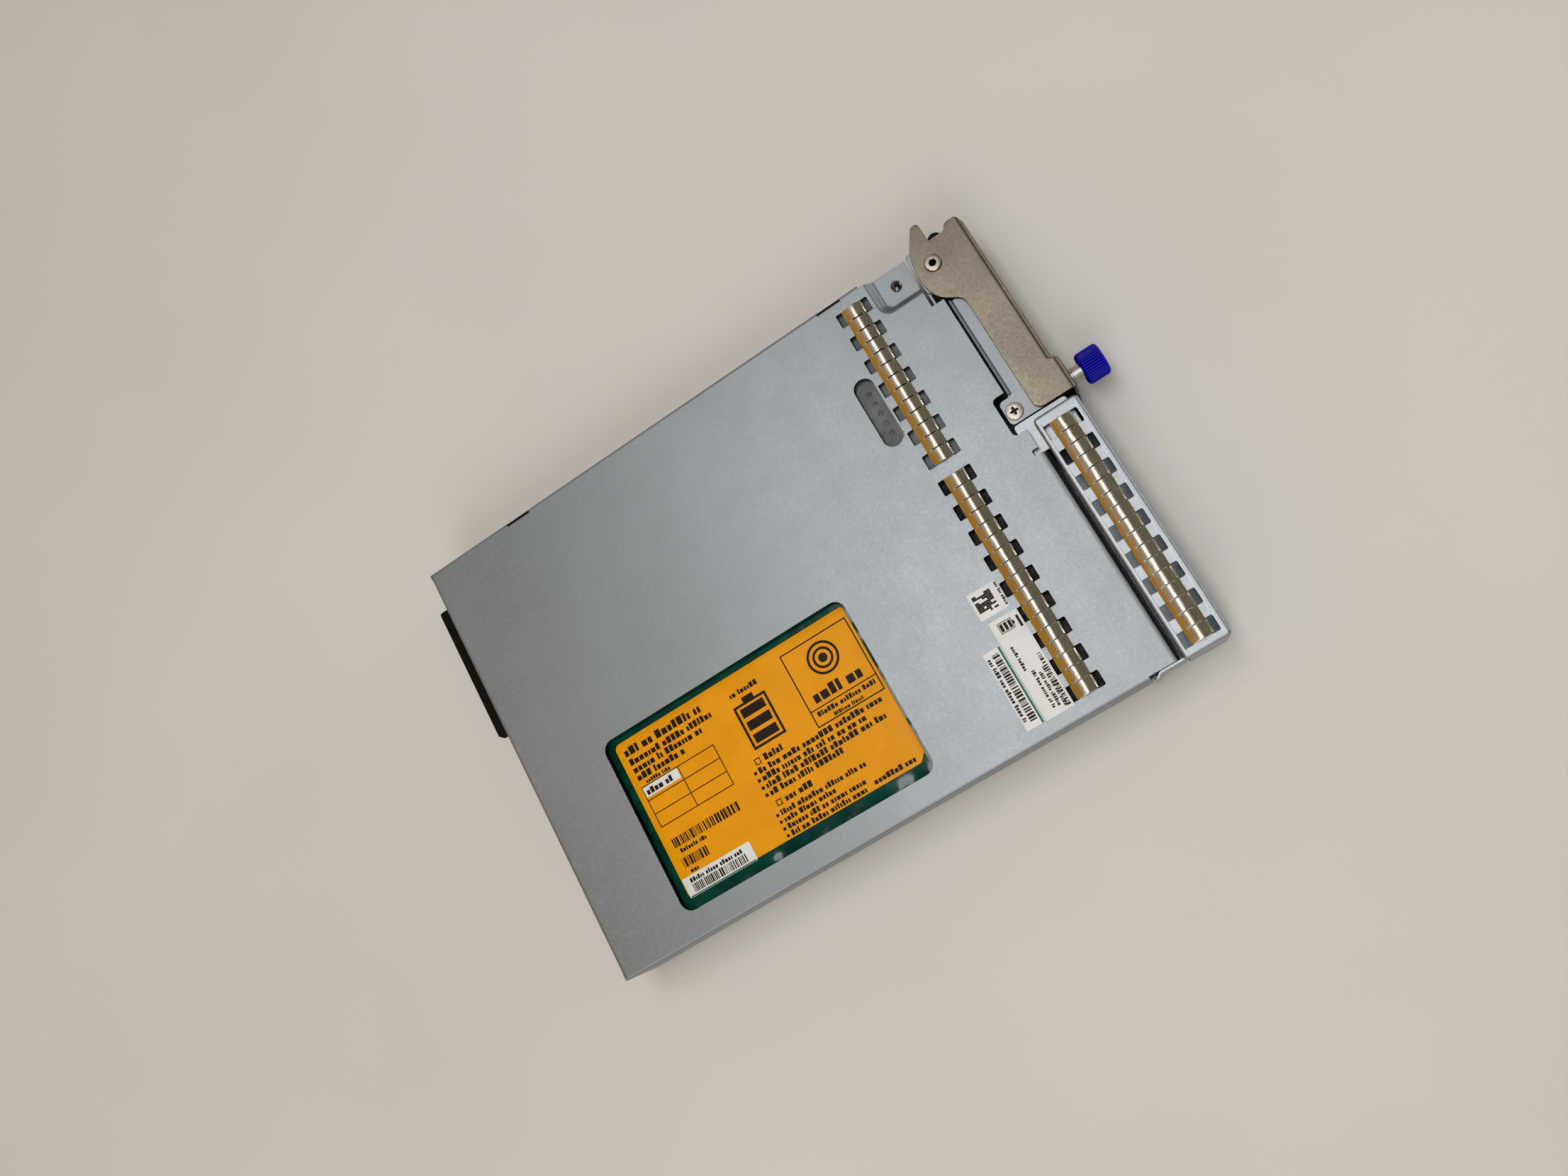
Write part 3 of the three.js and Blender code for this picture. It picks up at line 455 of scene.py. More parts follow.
def dress_nodes():
    """Every CAD node gets the look of its own material slot."""
    for row in frame["record"]["subparts"]:
        mesh = frame["nodes"][row["node"]].data
        mesh.materials.clear()
        mesh.materials.append(SLOT_LOOKS[row["material_slot"]])


# ---- Mesh tools ----

def make_piece(name, verts, faces, looks, body, slot, replaces=(), face_looks=None, smooth=25, even=True):
    """A named piece from millimetre points, shaded smooth except at edges sharper than smooth degrees."""
    mesh = bpy.data.meshes.new(name)
    mesh.from_pydata([tuple(c * MM for c in v) for v in verts], [], faces)
    for look in looks:
        mesh.materials.append(look)
    if face_looks is not None:
        mesh.polygons.foreach_set("material_index", face_looks)
    mesh.polygons.foreach_set("use_smooth", [True] * len(mesh.polygons))
    mesh.set_sharp_from_angle(angle=math.radians(smooth))
    mesh.update()
    piece = bpy.data.objects.new(name, mesh)
    bpy.context.scene.collection.objects.link(piece)
    if even:
        piece.modifiers.new("even_shading", "WEIGHTED_NORMAL").keep_sharp = True
    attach(piece, body)
    if replaces:
        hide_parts(*replaces)


def inside(points, loop):
    """Which points lie inside a closed loop."""
    x, y = points[:, 0], points[:, 1]
    found = np.zeros(len(points), bool)
    for (x0, y0), (x1, y1) in zip(loop, [*loop[1:], loop[0]]):
        if y0 != y1:
            crosses = (y0 > y) != (y1 > y)
            found ^= crosses & (x < (x1 - x0) * (y - y0) / (y1 - y0) + x0)
    return found


def triangulate(loops, lines=(), dots=()):
    """Triangles between the first loop and the loops inside it, which follow the extra lines and dots."""
    points, edges = [], []
    same_point, no_area = 1e-5, 1e-9
    for i, chain in enumerate([*loops, *lines]):
        first = len(points)
        points += [Vector(p) for p in chain]
        edges += [(first + k, first + k + 1) for k in range(len(chain) - 1)]
        if i < len(loops):
            edges.append((first + len(chain) - 1, first))
    points += [Vector(p) for p in dots]
    flat, _, faces, *_ = delaunay_2d_cdt(points, edges, [], 0, same_point)
    flat = np.array([p[:] for p in flat])
    faces = np.array(faces)
    a, b, c = flat[faces[:, 0]], flat[faces[:, 1]], flat[faces[:, 2]]
    area = (b[:, 0] - a[:, 0]) * (c[:, 1] - a[:, 1]) - (b[:, 1] - a[:, 1]) * (c[:, 0] - a[:, 0])
    faces[area < 0] = faces[area < 0][:, ::-1]
    middle = (a + b + c) / 3
    keep = (np.abs(area) > no_area) & inside(middle, loops[0])
    for hole in loops[1:]:
        keep &= ~inside(middle, hole)
    return flat, faces[keep]


def edge_offsets(flat, faces):
    """The outline's directed edges, and for each point on it the step inwards that moves its edges by 1."""
    directed = {(int(f[i]), int(f[(i + 1) % 3])) for f in faces for i in range(3)}
    rim = [(a, b) for a, b in directed if (b, a) not in directed]
    before = {b: a for a, b in rim}
    step = {}
    for a, b in sorted(rim):
        ahead = Vector(flat[b] - flat[a]).normalized()
        behind = Vector(flat[a] - flat[before[a]]).normalized()
        n0, n1 = Vector((-behind.y, behind.x)), Vector((-ahead.y, ahead.x))
        step[a] = (n0 + n1) / max(0.5, 1 + n0.dot(n1))
    return sorted(rim), step


def sheet_solid(loops, place, thick=SHEET, lines=(), dots=(), edge=EDGE, prints=()):
    """A sheet cut to the loops, with rounded edges, put in space by place(u, v, depth below its face).

    prints are (closed loop, material number) areas of its face, later ones on top.
    Returns points, faces and the faces' material numbers.
    """
    flat, tris = triangulate(loops, [*lines, *[[*loop, loop[0]] for loop, _ in prints]], dots)
    rim, step = edge_offsets(flat, tris)
    used = sorted({int(i) for f in tris for i in f})
    number = {old: new for new, old in enumerate(used)}
    round_at = edge * 0.29  # a quarter circle's middle lies this far in from both faces
    levels = [(edge, 0), (round_at, round_at), (0, edge)]
    levels += [(inset, thick - depth) for inset, depth in reversed(levels)]
    verts, ring_of = [], {}
    for depth in (0, thick):
        for old in used:
            u, v = flat[old] + np.array(step.get(old, (0, 0))) * edge
            verts.append(place(u, v, depth))
    count = len(used)
    for old in step:
        ring_of[old] = [number[old]]
        for inset, depth in levels[1:-1]:
            u, v = flat[old] + np.array(step[old]) * inset
            ring_of[old].append(len(verts))
            verts.append(place(u, v, depth))
        ring_of[old].append(number[old] + count)
    faces = [tuple(number[int(i)] for i in f) for f in tris]
    middle = flat[tris].mean(axis=1)
    printed = np.zeros(len(tris), int)
    for loop, number_of_look in prints:
        printed[inside(middle, loop)] = number_of_look
    looks = [int(i) for i in printed]
    faces += [tuple(number[int(i)] + count for i in f[::-1]) for f in tris]
    for a, b in rim:
        for k in range(len(levels) - 1):
            faces.append((ring_of[a][k + 1], ring_of[b][k + 1], ring_of[b][k], ring_of[a][k]))
    looks += [0] * (len(faces) - len(looks))
    return verts, faces, looks


def level_at(z, way=-1):
    """Places a level sheet whose face is at z; way is 1 when the face looks down."""
    return lambda u, v, depth: (u, v, z + way * depth)


def upright_at(x, way=-1):
    """Places an upright sheet, cut in Y and Z, whose face is at x; way is 1 when the face looks back."""
    return lambda u, v, depth: (x + way * depth, u, v)


def make_sheet(name, loops, place, slot, replaces=(), body=HOUSING, smooth=25, turned_over=False, **cut):
    """A piece that is one cut and bent sheet, in its slot's own look.

    turned_over is for a place that mirrors it.
    """
    verts, faces, _ = sheet_solid(loops, place, **cut)
    if turned_over:
        faces = [f[::-1] for f in faces]
    make_piece(name, verts, faces, [SLOT_LOOKS[slot]], body, slot, replaces, smooth=smooth)


def add_to(verts, faces, more, tris, turned_over=False):
    """Adds one mesh's points and faces to the lists of another."""
    if turned_over:
        tris = [f[::-1] for f in tris]
    faces += [tuple(i + len(verts) for i in f) for f in tris]
    verts += more


def arc(cx, cy, r, start, end, steps):
    """Points on an arc, from start to end degrees."""
    turns = [math.radians(start + (end - start) * i / steps) for i in range(steps + 1)]
    return [(cx + r * math.cos(t), cy + r * math.sin(t)) for t in turns]


def rounded(xs, ys, r, steps=4):
    """A rounded rectangle, anticlockwise."""
    (x0, x1), (y0, y1) = xs, ys
    return [
        *arc(x1 - r, y0 + r, r, -90, 0, steps),
        *arc(x1 - r, y1 - r, r, 0, 90, steps),
        *arc(x0 + r, y1 - r, r, 90, 180, steps),
        *arc(x0 + r, y0 + r, r, 180, 270, steps),
    ]


def circle(cx, cy, r, steps=32):
    """Points round a circle, anticlockwise."""
    return arc(cx, cy, r, 0, 360, steps)[:-1]


class Profile:
    """The face of a bent sheet, seen along the bend: points of (outwards, up) from where the bend starts."""

    def __init__(self, points):
        self.points = [Vector(p) for p in points]
        ways = [(b - a).normalized() for a, b in zip(self.points, self.points[1:])]
        normals = [Vector((-w.y, w.x)) for w in ways]
        pairs = zip([normals[0], *normals], [*normals, normals[-1]])
        self.normals = [(a + b) / (1 + a.dot(b)) for a, b in pairs]
        self.marks = [0.0]
        for a, b in zip(self.points, self.points[1:]):
            self.marks.append(self.marks[-1] + (b - a).length)
        self.length = self.marks[-1]

    def at(self, s, depth):
        """(outwards, up) at distance s along the face and depth below it."""
        i = int(np.searchsorted(self.marks, s)) - 1
        i = min(max(i, 0), len(self.points) - 2)
        share = (s - self.marks[i]) / (self.marks[i + 1] - self.marks[i])
        point = self.points[i].lerp(self.points[i + 1], share)
        return point - depth * self.normals[i].lerp(self.normals[i + 1], share)


def fold(r, straight, steps=6):
    """A right-angle bend downwards of outer radius r, then a straight stretch."""
    turns = [math.pi / 2 * i / steps for i in range(steps + 1)]
    curve = [(r * math.sin(t), r * math.cos(t) - r) for t in turns]
    return Profile([*curve, (r, -r - straight)])


def ease(t):
    """A smooth step from 0 to 1."""
    t = min(1.0, max(0.0, t))
    return t * t * (3 - 2 * t)


def turned(profile, sides, axis_at, along="X"):
    """Points and faces of a closed profile of (radius, distance) turned about an axis along X or Z."""
    verts, faces = [], []
    n = len(profile)
    cy, cz = axis_at
    for i in range(sides):
        t = 2 * math.pi * i / sides
        for r, d in profile:
            across = (cy + r * math.cos(t), cz + r * math.sin(t))
            verts.append((d, *across) if along == "X" else (*across, d))
    for i in range(sides):
        for k in range(n):
            a, b = i * n + k, i * n + (k + 1) % n
            c, d = ((i + 1) % sides) * n + (k + 1) % n, ((i + 1) % sides) * n + k
            faces.append((a, b, c, d))
    return weld(verts, faces)


def weld(verts, faces, gap=1e-4):
    """Joins points that lie together, drops what that collapses, and turns all faces outwards."""
    made = bmesh.new()
    points = [made.verts.new(v) for v in verts]
    for face in faces:
        made.faces.new([points[i] for i in face])
    bmesh.ops.remove_doubles(made, verts=made.verts, dist=gap)
    bmesh.ops.dissolve_degenerate(made, edges=made.edges, dist=gap)
    bmesh.ops.recalc_face_normals(made, faces=made.faces)
    made.verts.index_update()
    out = [tuple(v.co) for v in made.verts], [tuple(v.index for v in f.verts) for f in made.faces]
    made.free()
    return out


def soft_corners(points, r, steps=3):
    """A closed outline with each corner rounded by about r, or less where its sides are short."""
    rounded_loop = []
    for i, p in enumerate(points):
        here, before, after = Vector(p), Vector(points[i - 1]), Vector(points[(i + 1) % len(points)])
        a, b = before - here, after - here
        reach = min(r, a.length * 0.45, b.length * 0.45)
        start, end = here + a.normalized() * reach, here + b.normalized() * reach
        for k in range(steps + 1):
            t = k / steps
            rounded_loop.append(tuple((1 - t) ** 2 * start + 2 * t * (1 - t) * here + t * t * end))
    return rounded_loop


# ---- Housing sheets ----

def finger_centres(strip, every=1):
    """Y of each finger of a gasket, from its pivot-side end."""
    _, (low, high), _ = STRIPS[strip]
    count = round((high - low) / FINGER)
    return [high - (i + 0.5) * FINGER for i in range(0, count, every)]


def strip_x(strip):
    return sum(STRIPS[strip][0]) / 2


def clip_windows(strip):
    """Pairs of windows that every other finger clips through."""
    x = strip_x(strip)
    half = CLIP_LENGTH / 2
    spans = ((x - CLIP_OUTER, x - CLIP_INNER), (x + CLIP_INNER, x + CLIP_OUTER))
    centres = finger_centres(strip, 2)
    return [rounded(span, (y - half, y + half), 0.45, 3) for y in centres for span in spans]


def pad_level(share):
    """Corner and radius of the pressed pad's outline, from its mouth (0) to its floor (1)."""
    x = PAD["x"] + share * PAD["slope"][0]
    y = PAD["y"] + share * PAD["slope"][1]
    return x, y, PAD["outer"] + share * (PAD["inner"] - PAD["outer"])


def pad_lines():
    """The pad's contours, past the sheet's edges at both ends."""
    lines = []
    for share in (0, 0.08, 0.18, 0.3, 0.42, 0.58, 0.7, 0.82, 0.92, 1):
        x, y, r = pad_level(share)
        lines.append([(x, 100), *arc(x + r, y + r, r, 180, 270, 8), (120, y)])
    return lines


def pad_depth(u, v):
    """How far the pressed pad lies below the cover's face."""
    low, high = 0.0, 1.0
    for _ in range(16):
        share = (low + high) / 2
        x, y, r = pad_level(share)
        in_corner = u < x + r and v < y + r and math.hypot(x + r - u, y + r - v) > r
        if u < x or v < y or in_corner:
            high = share
        else:
            low = share
    return PAD["depth"] * ease(low)


def housing_outline(flange, rear, front_tongue):
    """The housing's flat pattern: its plan, with flanges past the bends on both sides and at the rear."""
    side = SIDE - BEND_R
    back = REAR + BEND_R
    return [
        (back - rear, -side + 0.15),
        (back, -side + 0.15),
        (back, -side + 0.05),
        (REAR + 0.1, -side + 0.05),
        (REAR + 0.1, -side - flange),
        (TONGUE_X, -side - flange),
        (TONGUE_X, -SIDE + TONGUE_CUT),
        *front_tongue,
        (PAD_FRONT, POCKET_Y),
        (PAD_FRONT, PAD_SIDE),
        (PAD_STEP, PAD_SIDE),
        (PAD_STEP, side + flange),
        (REAR + 0.1, side + flange),
        (REAR + 0.1, side - 0.05),
        (back, side - 0.05),
        (back, side - 0.15),
        (back - rear, side - 0.15),
    ]


def bend_lines(profile):
    """Lines along both side bends and the rear bend, with a support line before each."""
    lines = []
    for mark in [-0.5, *profile.marks]:
        for sign in (-1, 1):
            v = sign * (SIDE - BEND_R + mark)
            lines.append([(REAR - 1, v), (TONGUE_X + 1, v)])
        u = REAR + BEND_R - mark
        lines.append([(u, -SIDE - 3), (u, SIDE + 3)])
    return lines


def folded_place(profile, level):
    """Puts the flat pattern of a folded housing sheet in space; level(u, v, depth) places its flat part."""
    side = SIDE - BEND_R
    back = REAR + BEND_R

    def place(u, v, depth):
        if abs(v) > side:
            out, up = profile.at(abs(v) - side, depth)
            return u, math.copysign(side + out, v), TOP + up
        if u < back and v < side - 0.1 and v > -side + 0.1:
            out, up = profile.at(back - u, depth)
            return back - out, v, TOP + up
        return level(u, v, depth)

    return place


def make_cover():
    """The cover: its openings, side and rear flanges, pressed corner pad and bent-down front edge."""
    profile = fold(BEND_R, TOP - SEAM - BEND_R)
    nose = Profile([(0, 0), (0.5, -0.08), (0.95, -0.45), (1.35, -1.1), (2.2, -3.6)])
    nose_from = COVER_FRONT - 0.4
    front = [
        (nose_from + nose.length, -SIDE + TONGUE_CUT),
        (nose_from + nose.length, SLIT_Y[0]),
        (SLIT_X + 0.3, SLIT_Y[0]),
        (SLIT_X, SLIT_Y[0] + 0.3),
        (SLIT_X, SLIT_Y[1] - 0.3),
        (SLIT_X + 0.3, SLIT_Y[1]),
        (COVER_FRONT, SLIT_Y[1]),
        (COVER_FRONT, NOTCH_Y[0]),
        *arc(NOTCH_X + 1.6, NOTCH_Y[0] + 1.6, 1.6, 270, 180, 6),
        *arc(NOTCH_X + 1.6, NOTCH_Y[1] - 1.6, 1.6, 180, 90, 6),
        (COVER_FRONT, NOTCH_Y[1]),
        (COVER_FRONT, POCKET_Y),
    ]
    screw = node_box("corner_screw")
    holes = [
        rounded(WINDOW_X, WINDOW_Y, 4, 12),
        rounded((SLOT_X - SLOT_R, SLOT_X + SLOT_R), SLOT_Y, SLOT_R - 0.01, 14),
        *clip_windows("gasket_upper"),
        *clip_windows("gasket_lower"),
        *[rounded(x, (SIDE - 1.7, SIDE + 0.5), 0.4) for x in EDGE_SLOTS],
        circle(sum(screw[0]) / 2, sum(screw[1]) / 2, 1.6, 20),
    ]
    lines = bend_lines(profile) + pad_lines()
    lines += [[(nose_from + m, -SIDE), (nose_from + m, SLIT_Y[0] + 0.5)] for m in (-0.5, *nose.marks)]

    def level(u, v, depth):
        if u > nose_from and v < SLIT_Y[1]:
            out, up = nose.at(u - nose_from, depth)
            return nose_from + out, v, TOP + up
        return u, v, TOP - depth - pad_depth(u, v)

    outline = housing_outline(profile.length, profile.length, front)
    place = folded_place(profile, level)
    make_sheet("cover_sheet", [outline, *holes], place, "zinc_sheet", ["top_cover"], lines=lines)


def make_tray():
    """The cover's pattern turned over, with a joggle that carries its rim behind the cover's flange."""
    wall = SEAM - GAP
    curve = fold(BEND_R, wall - BEND_R).points
    rim = [Vector((BEND_R - (SHEET + GAP) * ease(k / 4), -wall - 1.4 * k / 4)) for k in range(1, 5)]
    profile = Profile([*curve, *rim, Vector((BEND_R - SHEET - GAP, -wall - 4.6))])
    front = [(COVER_FRONT, -SIDE + TONGUE_CUT), (COVER_FRONT, POCKET_Y)]
    connector = node_box("connector_shell")
    back = REAR + BEND_R

    def level(u, v, depth):
        return u, v, TOP - depth - pad_depth(u, v)

    folded = folded_place(profile, level)

    def place(u, v, depth):
        x, y, z = folded(u, v, depth)
        return x, y, TOP - z

    bend_extra = BEND_R * (math.pi / 2 - 1)
    low = bend_extra + connector[2][0] - GAP
    high = bend_extra + connector[2][1] + GAP
    holes = [rounded((back - high, back - low), (connector[1][0] - GAP, connector[1][1] + GAP), 0.6)]
    lines = bend_lines(profile) + pad_lines()
    outline = housing_outline(profile.length, profile.length, front)
    loops = [outline, *holes]
    make_sheet("tray_sheet", loops, place, "zinc_sheet", ["bottom_tray"], turned_over=True, lines=lines)


# ---- Finger gaskets ----

# The finger's section, from its rear foot over its crest to its front foot: (forward, up).
ARCH = [(-3.75, 0.06), (-3.45, 0.30), (-2.6, 0.62), (-1.3, 1.08), (-0.75, 1.22), (-0.2, 1.29), (0.35, 1.31),
        (0.9, 1.24), (1.5, 1.02), (2.5, 0.56), (3.35, 0.20), (3.75, 0.05)]
ARCH_CREST = 6  # the point of ARCH where it is highest
ARCH_SKIN = 0.2
SLIT_HALF = 2.3
SLIT_GAP = 0.36
NICK = 0.55  # depth of the small cuts in the feet between two fingers
FINGER_LIFT = 0.05
FINGER_TILT = 0.024
EDGE_DROP = 0.08
CLIP_SKIN = 0.18


def make_gasket(strip, seed):
    """A bright strip of sprung fingers: an arch slit between fingers, each finger set a hair apart."""
    draw = random.Random(seed)
    _, (low, high), _ = STRIPS[strip]
    x = strip_x(strip)
    profile = Profile(ARCH)
    length = profile.length
    count = round((high - low) / FINGER)
    gaps = [high - i * FINGER for i in range(1, count)]
    middle = profile.marks[ARCH_CREST]
    slit = (middle - SLIT_HALF, middle + SLIT_HALF)
    slits = [rounded(slit, (y - SLIT_GAP / 2, y + SLIT_GAP / 2), 0.12, 2) for y in gaps]
    outline = [(length, low)]
    nicked = length - NICK
    for y in reversed(gaps):
        outline += [(length, y - 0.12), (nicked, y - 0.1), (nicked, y + 0.1), (length, y + 0.12)]
    outline += [(length, high), (0, high)]
    for y in gaps:
        outline += [(0, y + 0.12), (NICK, y + 0.1), (NICK, y - 0.1), (0, y - 0.12)]
    outline.append((0, low))
    lift = [draw.uniform(-FINGER_LIFT, FINGER_LIFT) for _ in range(count)]
    tilt = [draw.uniform(-FINGER_TILT, FINGER_TILT) for _ in range(count)]
    lines = [[(m, low - 1), (m, high + 1)] for m in profile.marks[1:-1]]
    for i in range(count):
        for y in (high - i * FINGER - 0.5, high - i * FINGER - FINGER / 2, high - (i + 1) * FINGER + 0.5):
            lines.append([(-1, y), (length + 1, y)])

    def place(u, v, depth):
        out, up = profile.at(u, depth)
        finger = min(count - 1, max(0, int((high - v) / FINGER)))
        within = (high - v) / FINGER - finger - 0.5
        crown = math.sin(math.pi * min(1, max(0, u / length)))
        sprung = crown * (lift[finger] + tilt[finger] * within)
        edge_drop = EDGE_DROP * crown * (abs(within) * 2) ** 6
        return x + out, v, TOP + GAP + up + sprung - edge_drop

    make_sheet(strip + "_strip", [outline, *slits], place, "tin", [strip], smooth=32,
               thick=ARCH_SKIN, lines=lines, edge=0.05)
    make_clips(strip)


def make_clips(strip):
    """The folded tongues that go down through the windows beside every other finger."""
    x = strip_x(strip)
    half = FINGER / 2 - 0.25
    tongue = Profile([(0, 0), (0.35, -0.06), (0.5, -0.3), (0.5, -1.3), (0.15, -1.75)])
    for side in (-1, 1):
        verts, faces = [], []

        def place(u, v, depth):
            out, up = tongue.at(u, depth)
            return x + side * (3.25 + out), v, TOP + GAP + 0.24 + up

        for y in finger_centres(strip, 2):
            marks = [[(m, y - half - 1), (m, y + half + 1)] for m in tongue.marks[1:-1]]
            corners = [(0, y - half), (tongue.length, y - half), (tongue.length, y + half), (0, y + half)]
            more, tris, _ = sheet_solid([soft_corners(corners, 0.3, 2)], place, CLIP_SKIN, marks, edge=0.04)
            add_to(verts, faces, more, tris, side < 0)
        name = f"{strip}_clips_{'rear' if side < 0 else 'front'}"
        make_piece(name, verts, faces, [TIN], HOUSING, "tin", smooth=32)


# ---- Front bezel ----

BEZEL_X = (95.6, 111.4)
BEZEL_Y = (-79.5, 8.2)
BEZEL_R = 1.5
HOOD = {"half": 4.0, "rise": 4.0, "proud": 0.55, "rows": (8.2, 18.4), "slot": 3.4}


class DrawnBox:
    """A lid with rounded corners and a drawn skirt; distances past the lid's edge run down the skirt."""

    def __init__(self, xs, ys, plan_r, bend_r, straight):
        self.profile = fold(bend_r, straight)
        self.corner = plan_r - bend_r
        self.xs = (xs[0] + plan_r, xs[1] - plan_r)
        self.ys = (ys[0] + plan_r, ys[1] - plan_r)

    def ring(self, s, steps=8):
        """The flat pattern's outline at distance s past the lid's edge."""
        r = self.corner + s
        (x0, x1), (y0, y1) = self.xs, self.ys
        return rounded((x0 - r, x1 + r), (y0 - r, y1 + r), r, steps)

    def place(self, u, v, depth):
        cx = min(max(u, self.xs[0]), self.xs[1])
        cy = min(max(v, self.ys[0]), self.ys[1])
        away = Vector((u - cx, v - cy))
        s = away.length - self.corner
        if s <= 0:
            return u, v, TOP - depth
        out, up = self.profile.at(s, depth)
        away = away.normalized() * (self.corner + out)
        return cx + away.x, cy + away.y, TOP + up


def make_bezel():
    """The bezel's shell: a drawn lid, a long front wall with rows of louvre hoods, a short rear lip."""
    bend = 1.0
    box = DrawnBox(BEZEL_X, BEZEL_Y, BEZEL_R, bend, TOP - bend - SHEET - 0.15)
    length = box.profile.length
    lip = box.profile.marks[-2] + 2.4
    (x0, x1), (y0, y1) = box.xs, box.ys
    r_long, r_short = box.corner + length, box.corner + lip
    outline = [
        (x0, y0 - r_long),
        (x1, y0 - r_long),
        *arc(x1, y0, r_long, -90, 0, 8)[1:],
        *arc(x1, y1, r_long, 0, 90, 8),
        (x0, y1 + r_long),
        *arc(x0, y1, r_short, 90, 180, 8),
        *arc(x0, y0, r_short, 180, 270, 8),
    ]
    face_u = x1 + box.corner + box.profile.marks[-2]
    down = face_u + TOP - bend
    holes, lines, dots = clip_windows("gasket_bezel"), [], []
    hoods = [(y, z) for y in finger_centres("gasket_bezel", 2) for z in HOOD["rows"]]
    for y, z in hoods:
        sill = down - z
        half = HOOD["half"] - 0.5
        if z - HOOD["slot"] > SHEET + 1:
            holes.append(rounded((sill, sill + HOOD["slot"]), (y - half, y + half), 0.4, 3))
        for i in range(1, 9):
            for k in range(-8, 9):
                dots.append((sill - i * 0.5 - 0.25, y + k * 0.5))
    for mark in [-0.4, *box.profile.marks[:-1], box.profile.marks[-2] + 0.6]:
        if mark > -box.corner:
            ring = box.ring(mark)
            lines.append([*ring, ring[0]])

    def place(u, v, depth):
        x, y, z = box.place(u, v, depth)
        if u > face_u:
            for hy, hz in hoods:
                above = (z - hz) / HOOD["rise"]
                along = abs(y - hy) / HOOD["half"]
                if -0.05 < above < 1 and along < 1:
                    x += HOOD["proud"] * ease((1 - above) * 1.6) * ease((1 - along) * 2.6)
        return x, y, z

    loops = [outline, *holes]
    make_sheet("bezel_shell", loops, place, "bright_zinc", ["front_bezel"], lines=lines, dots=dots)
    make_bezel_parts()


def make_bezel_parts():
    """The bezel's floor, its sunk flange beside the bracket and the joggled tongue that laps the tray."""
    floor = rounded(BEZEL_X, BEZEL_Y, BEZEL_R, 8)
    make_sheet("bezel_floor", [floor], level_at(SHEET), "bright_zinc")
    flange = rounded((89.6, BEZEL_X[1] - 3), (-1.9, 10.2), 1, 5)
    make_sheet("bezel_flange", [flange], level_at(TOP - SUNK), "bright_zinc")
    joggle = [(0, -0.75), (1.0, -0.75), (1.5, -0.55), (2.3, 0.15), (2.8, 0.3)]
    path = Profile([*joggle, (BEZEL_X[0] - TONGUE_X, 0.3)])
    thick = 0.8
    outline = soft_corners([(0, 3), (path.length, 3), (path.length, TOP - 0.8), (0, TOP - 0.8)], 1.2, 4)
    lines = [[(m, 0), (m, TOP)] for m in path.marks[1:-1]]

    def place(u, v, depth):
        along, out = path.at(u, depth)
        return TONGUE_X + 0.9 + along, BEZEL_Y[0] + out + thick, v

    make_sheet("bezel_tongue", [outline], place, "bright_zinc", turned_over=True, thick=thick, lines=lines)


# ---- Lever bracket ----

def make_bracket():
    """Two mirrored shelves with a screw tab, and the rib and the uprights between them."""
    (x0, x1), (y0, y1), _ = node_box("lever_bracket")
    wall = 103.4
    tab_x, tab_r, tab_end = 89.5, 1.5, 19.4
    ear_r = 1.8
    shelf = TOP - SUNK
    screw = node_box("bracket_screw")
    outline = [
        (wall, 58), (x1, 63),
        *arc(x1 - ear_r, y1 - ear_r, ear_r, 0, 90, 6),
        *arc(x0 + ear_r, y1 - ear_r, ear_r, 90, 180, 6),
        (x0, 65.6), (89.6, 64.2), (91.3, 62.3), (96.5, 60.4), (96.5, 57.3), (93.3, 57.3), (93.3, tab_end),
        *arc(tab_x + tab_r, tab_end - tab_r, tab_r, 90, 180, 6),
        *arc(tab_x + tab_r, y0 + tab_r, tab_r, 180, 270, 6),
        (wall, y0),
    ]
    loops = [outline, circle(*PIVOT_AT, 2.3), circle(sum(screw[0]) / 2, sum(screw[1]) / 2, 1.8)]
    make_sheet("bracket_upper", loops, level_at(shelf), "zinc_sheet", ["lever_bracket"])
    make_sheet("bracket_lower", loops, level_at(TOP - shelf, 1), "zinc_sheet", turned_over=True)
    slope = [(-0.15, -1.2), (0.02, -0.5), (0.35, -0.1)]
    rib = Profile([*slope, (0.7, 0), *[(1.4 - x, z) for x, z in reversed(slope)]])
    strip = [(0, 19.9), (rib.length, 19.9), (rib.length, 57.2), (0, 57.2)]
    lines = [[(m, 10), (m, 60)] for m in rib.marks[1:-1]]
    ridge = TOP - 1.3

    def ribbed(u, v, depth):
        out, up = rib.at(u, depth)
        return 93.35 + out, v, ridge + up

    make_sheet("bracket_rib", [strip], ribbed, "zinc_sheet", thick=0.4, lines=lines, edge=0.05)
    low, high = TOP - shelf + SHEET + 0.02, shelf - SHEET - 0.02
    front = [(y0, low), (57.3, low), (57.3, high), (y0, high)]
    make_sheet("bracket_front_wall", [front, circle(*SCREW_AT, 1.8)], upright_at(wall), "zinc_sheet")
    rear = [(57.5, low), (y1 - 1.8, low), (y1 - 1.8, high), (57.5, high)]
    make_sheet("bracket_rear_wall", [rear], upright_at(x0 + SHEET), "zinc_sheet")


# ---- Cam lever, its rivet and the captive thumbscrew ----

LEVER_SHEET = 1.2
LEVER_R = 1.8
LEVER_FRONT = 111.3
TAB_FRONT = 113.1
TAB_TOP = 22.5
RIVET_HOLE = 2.3


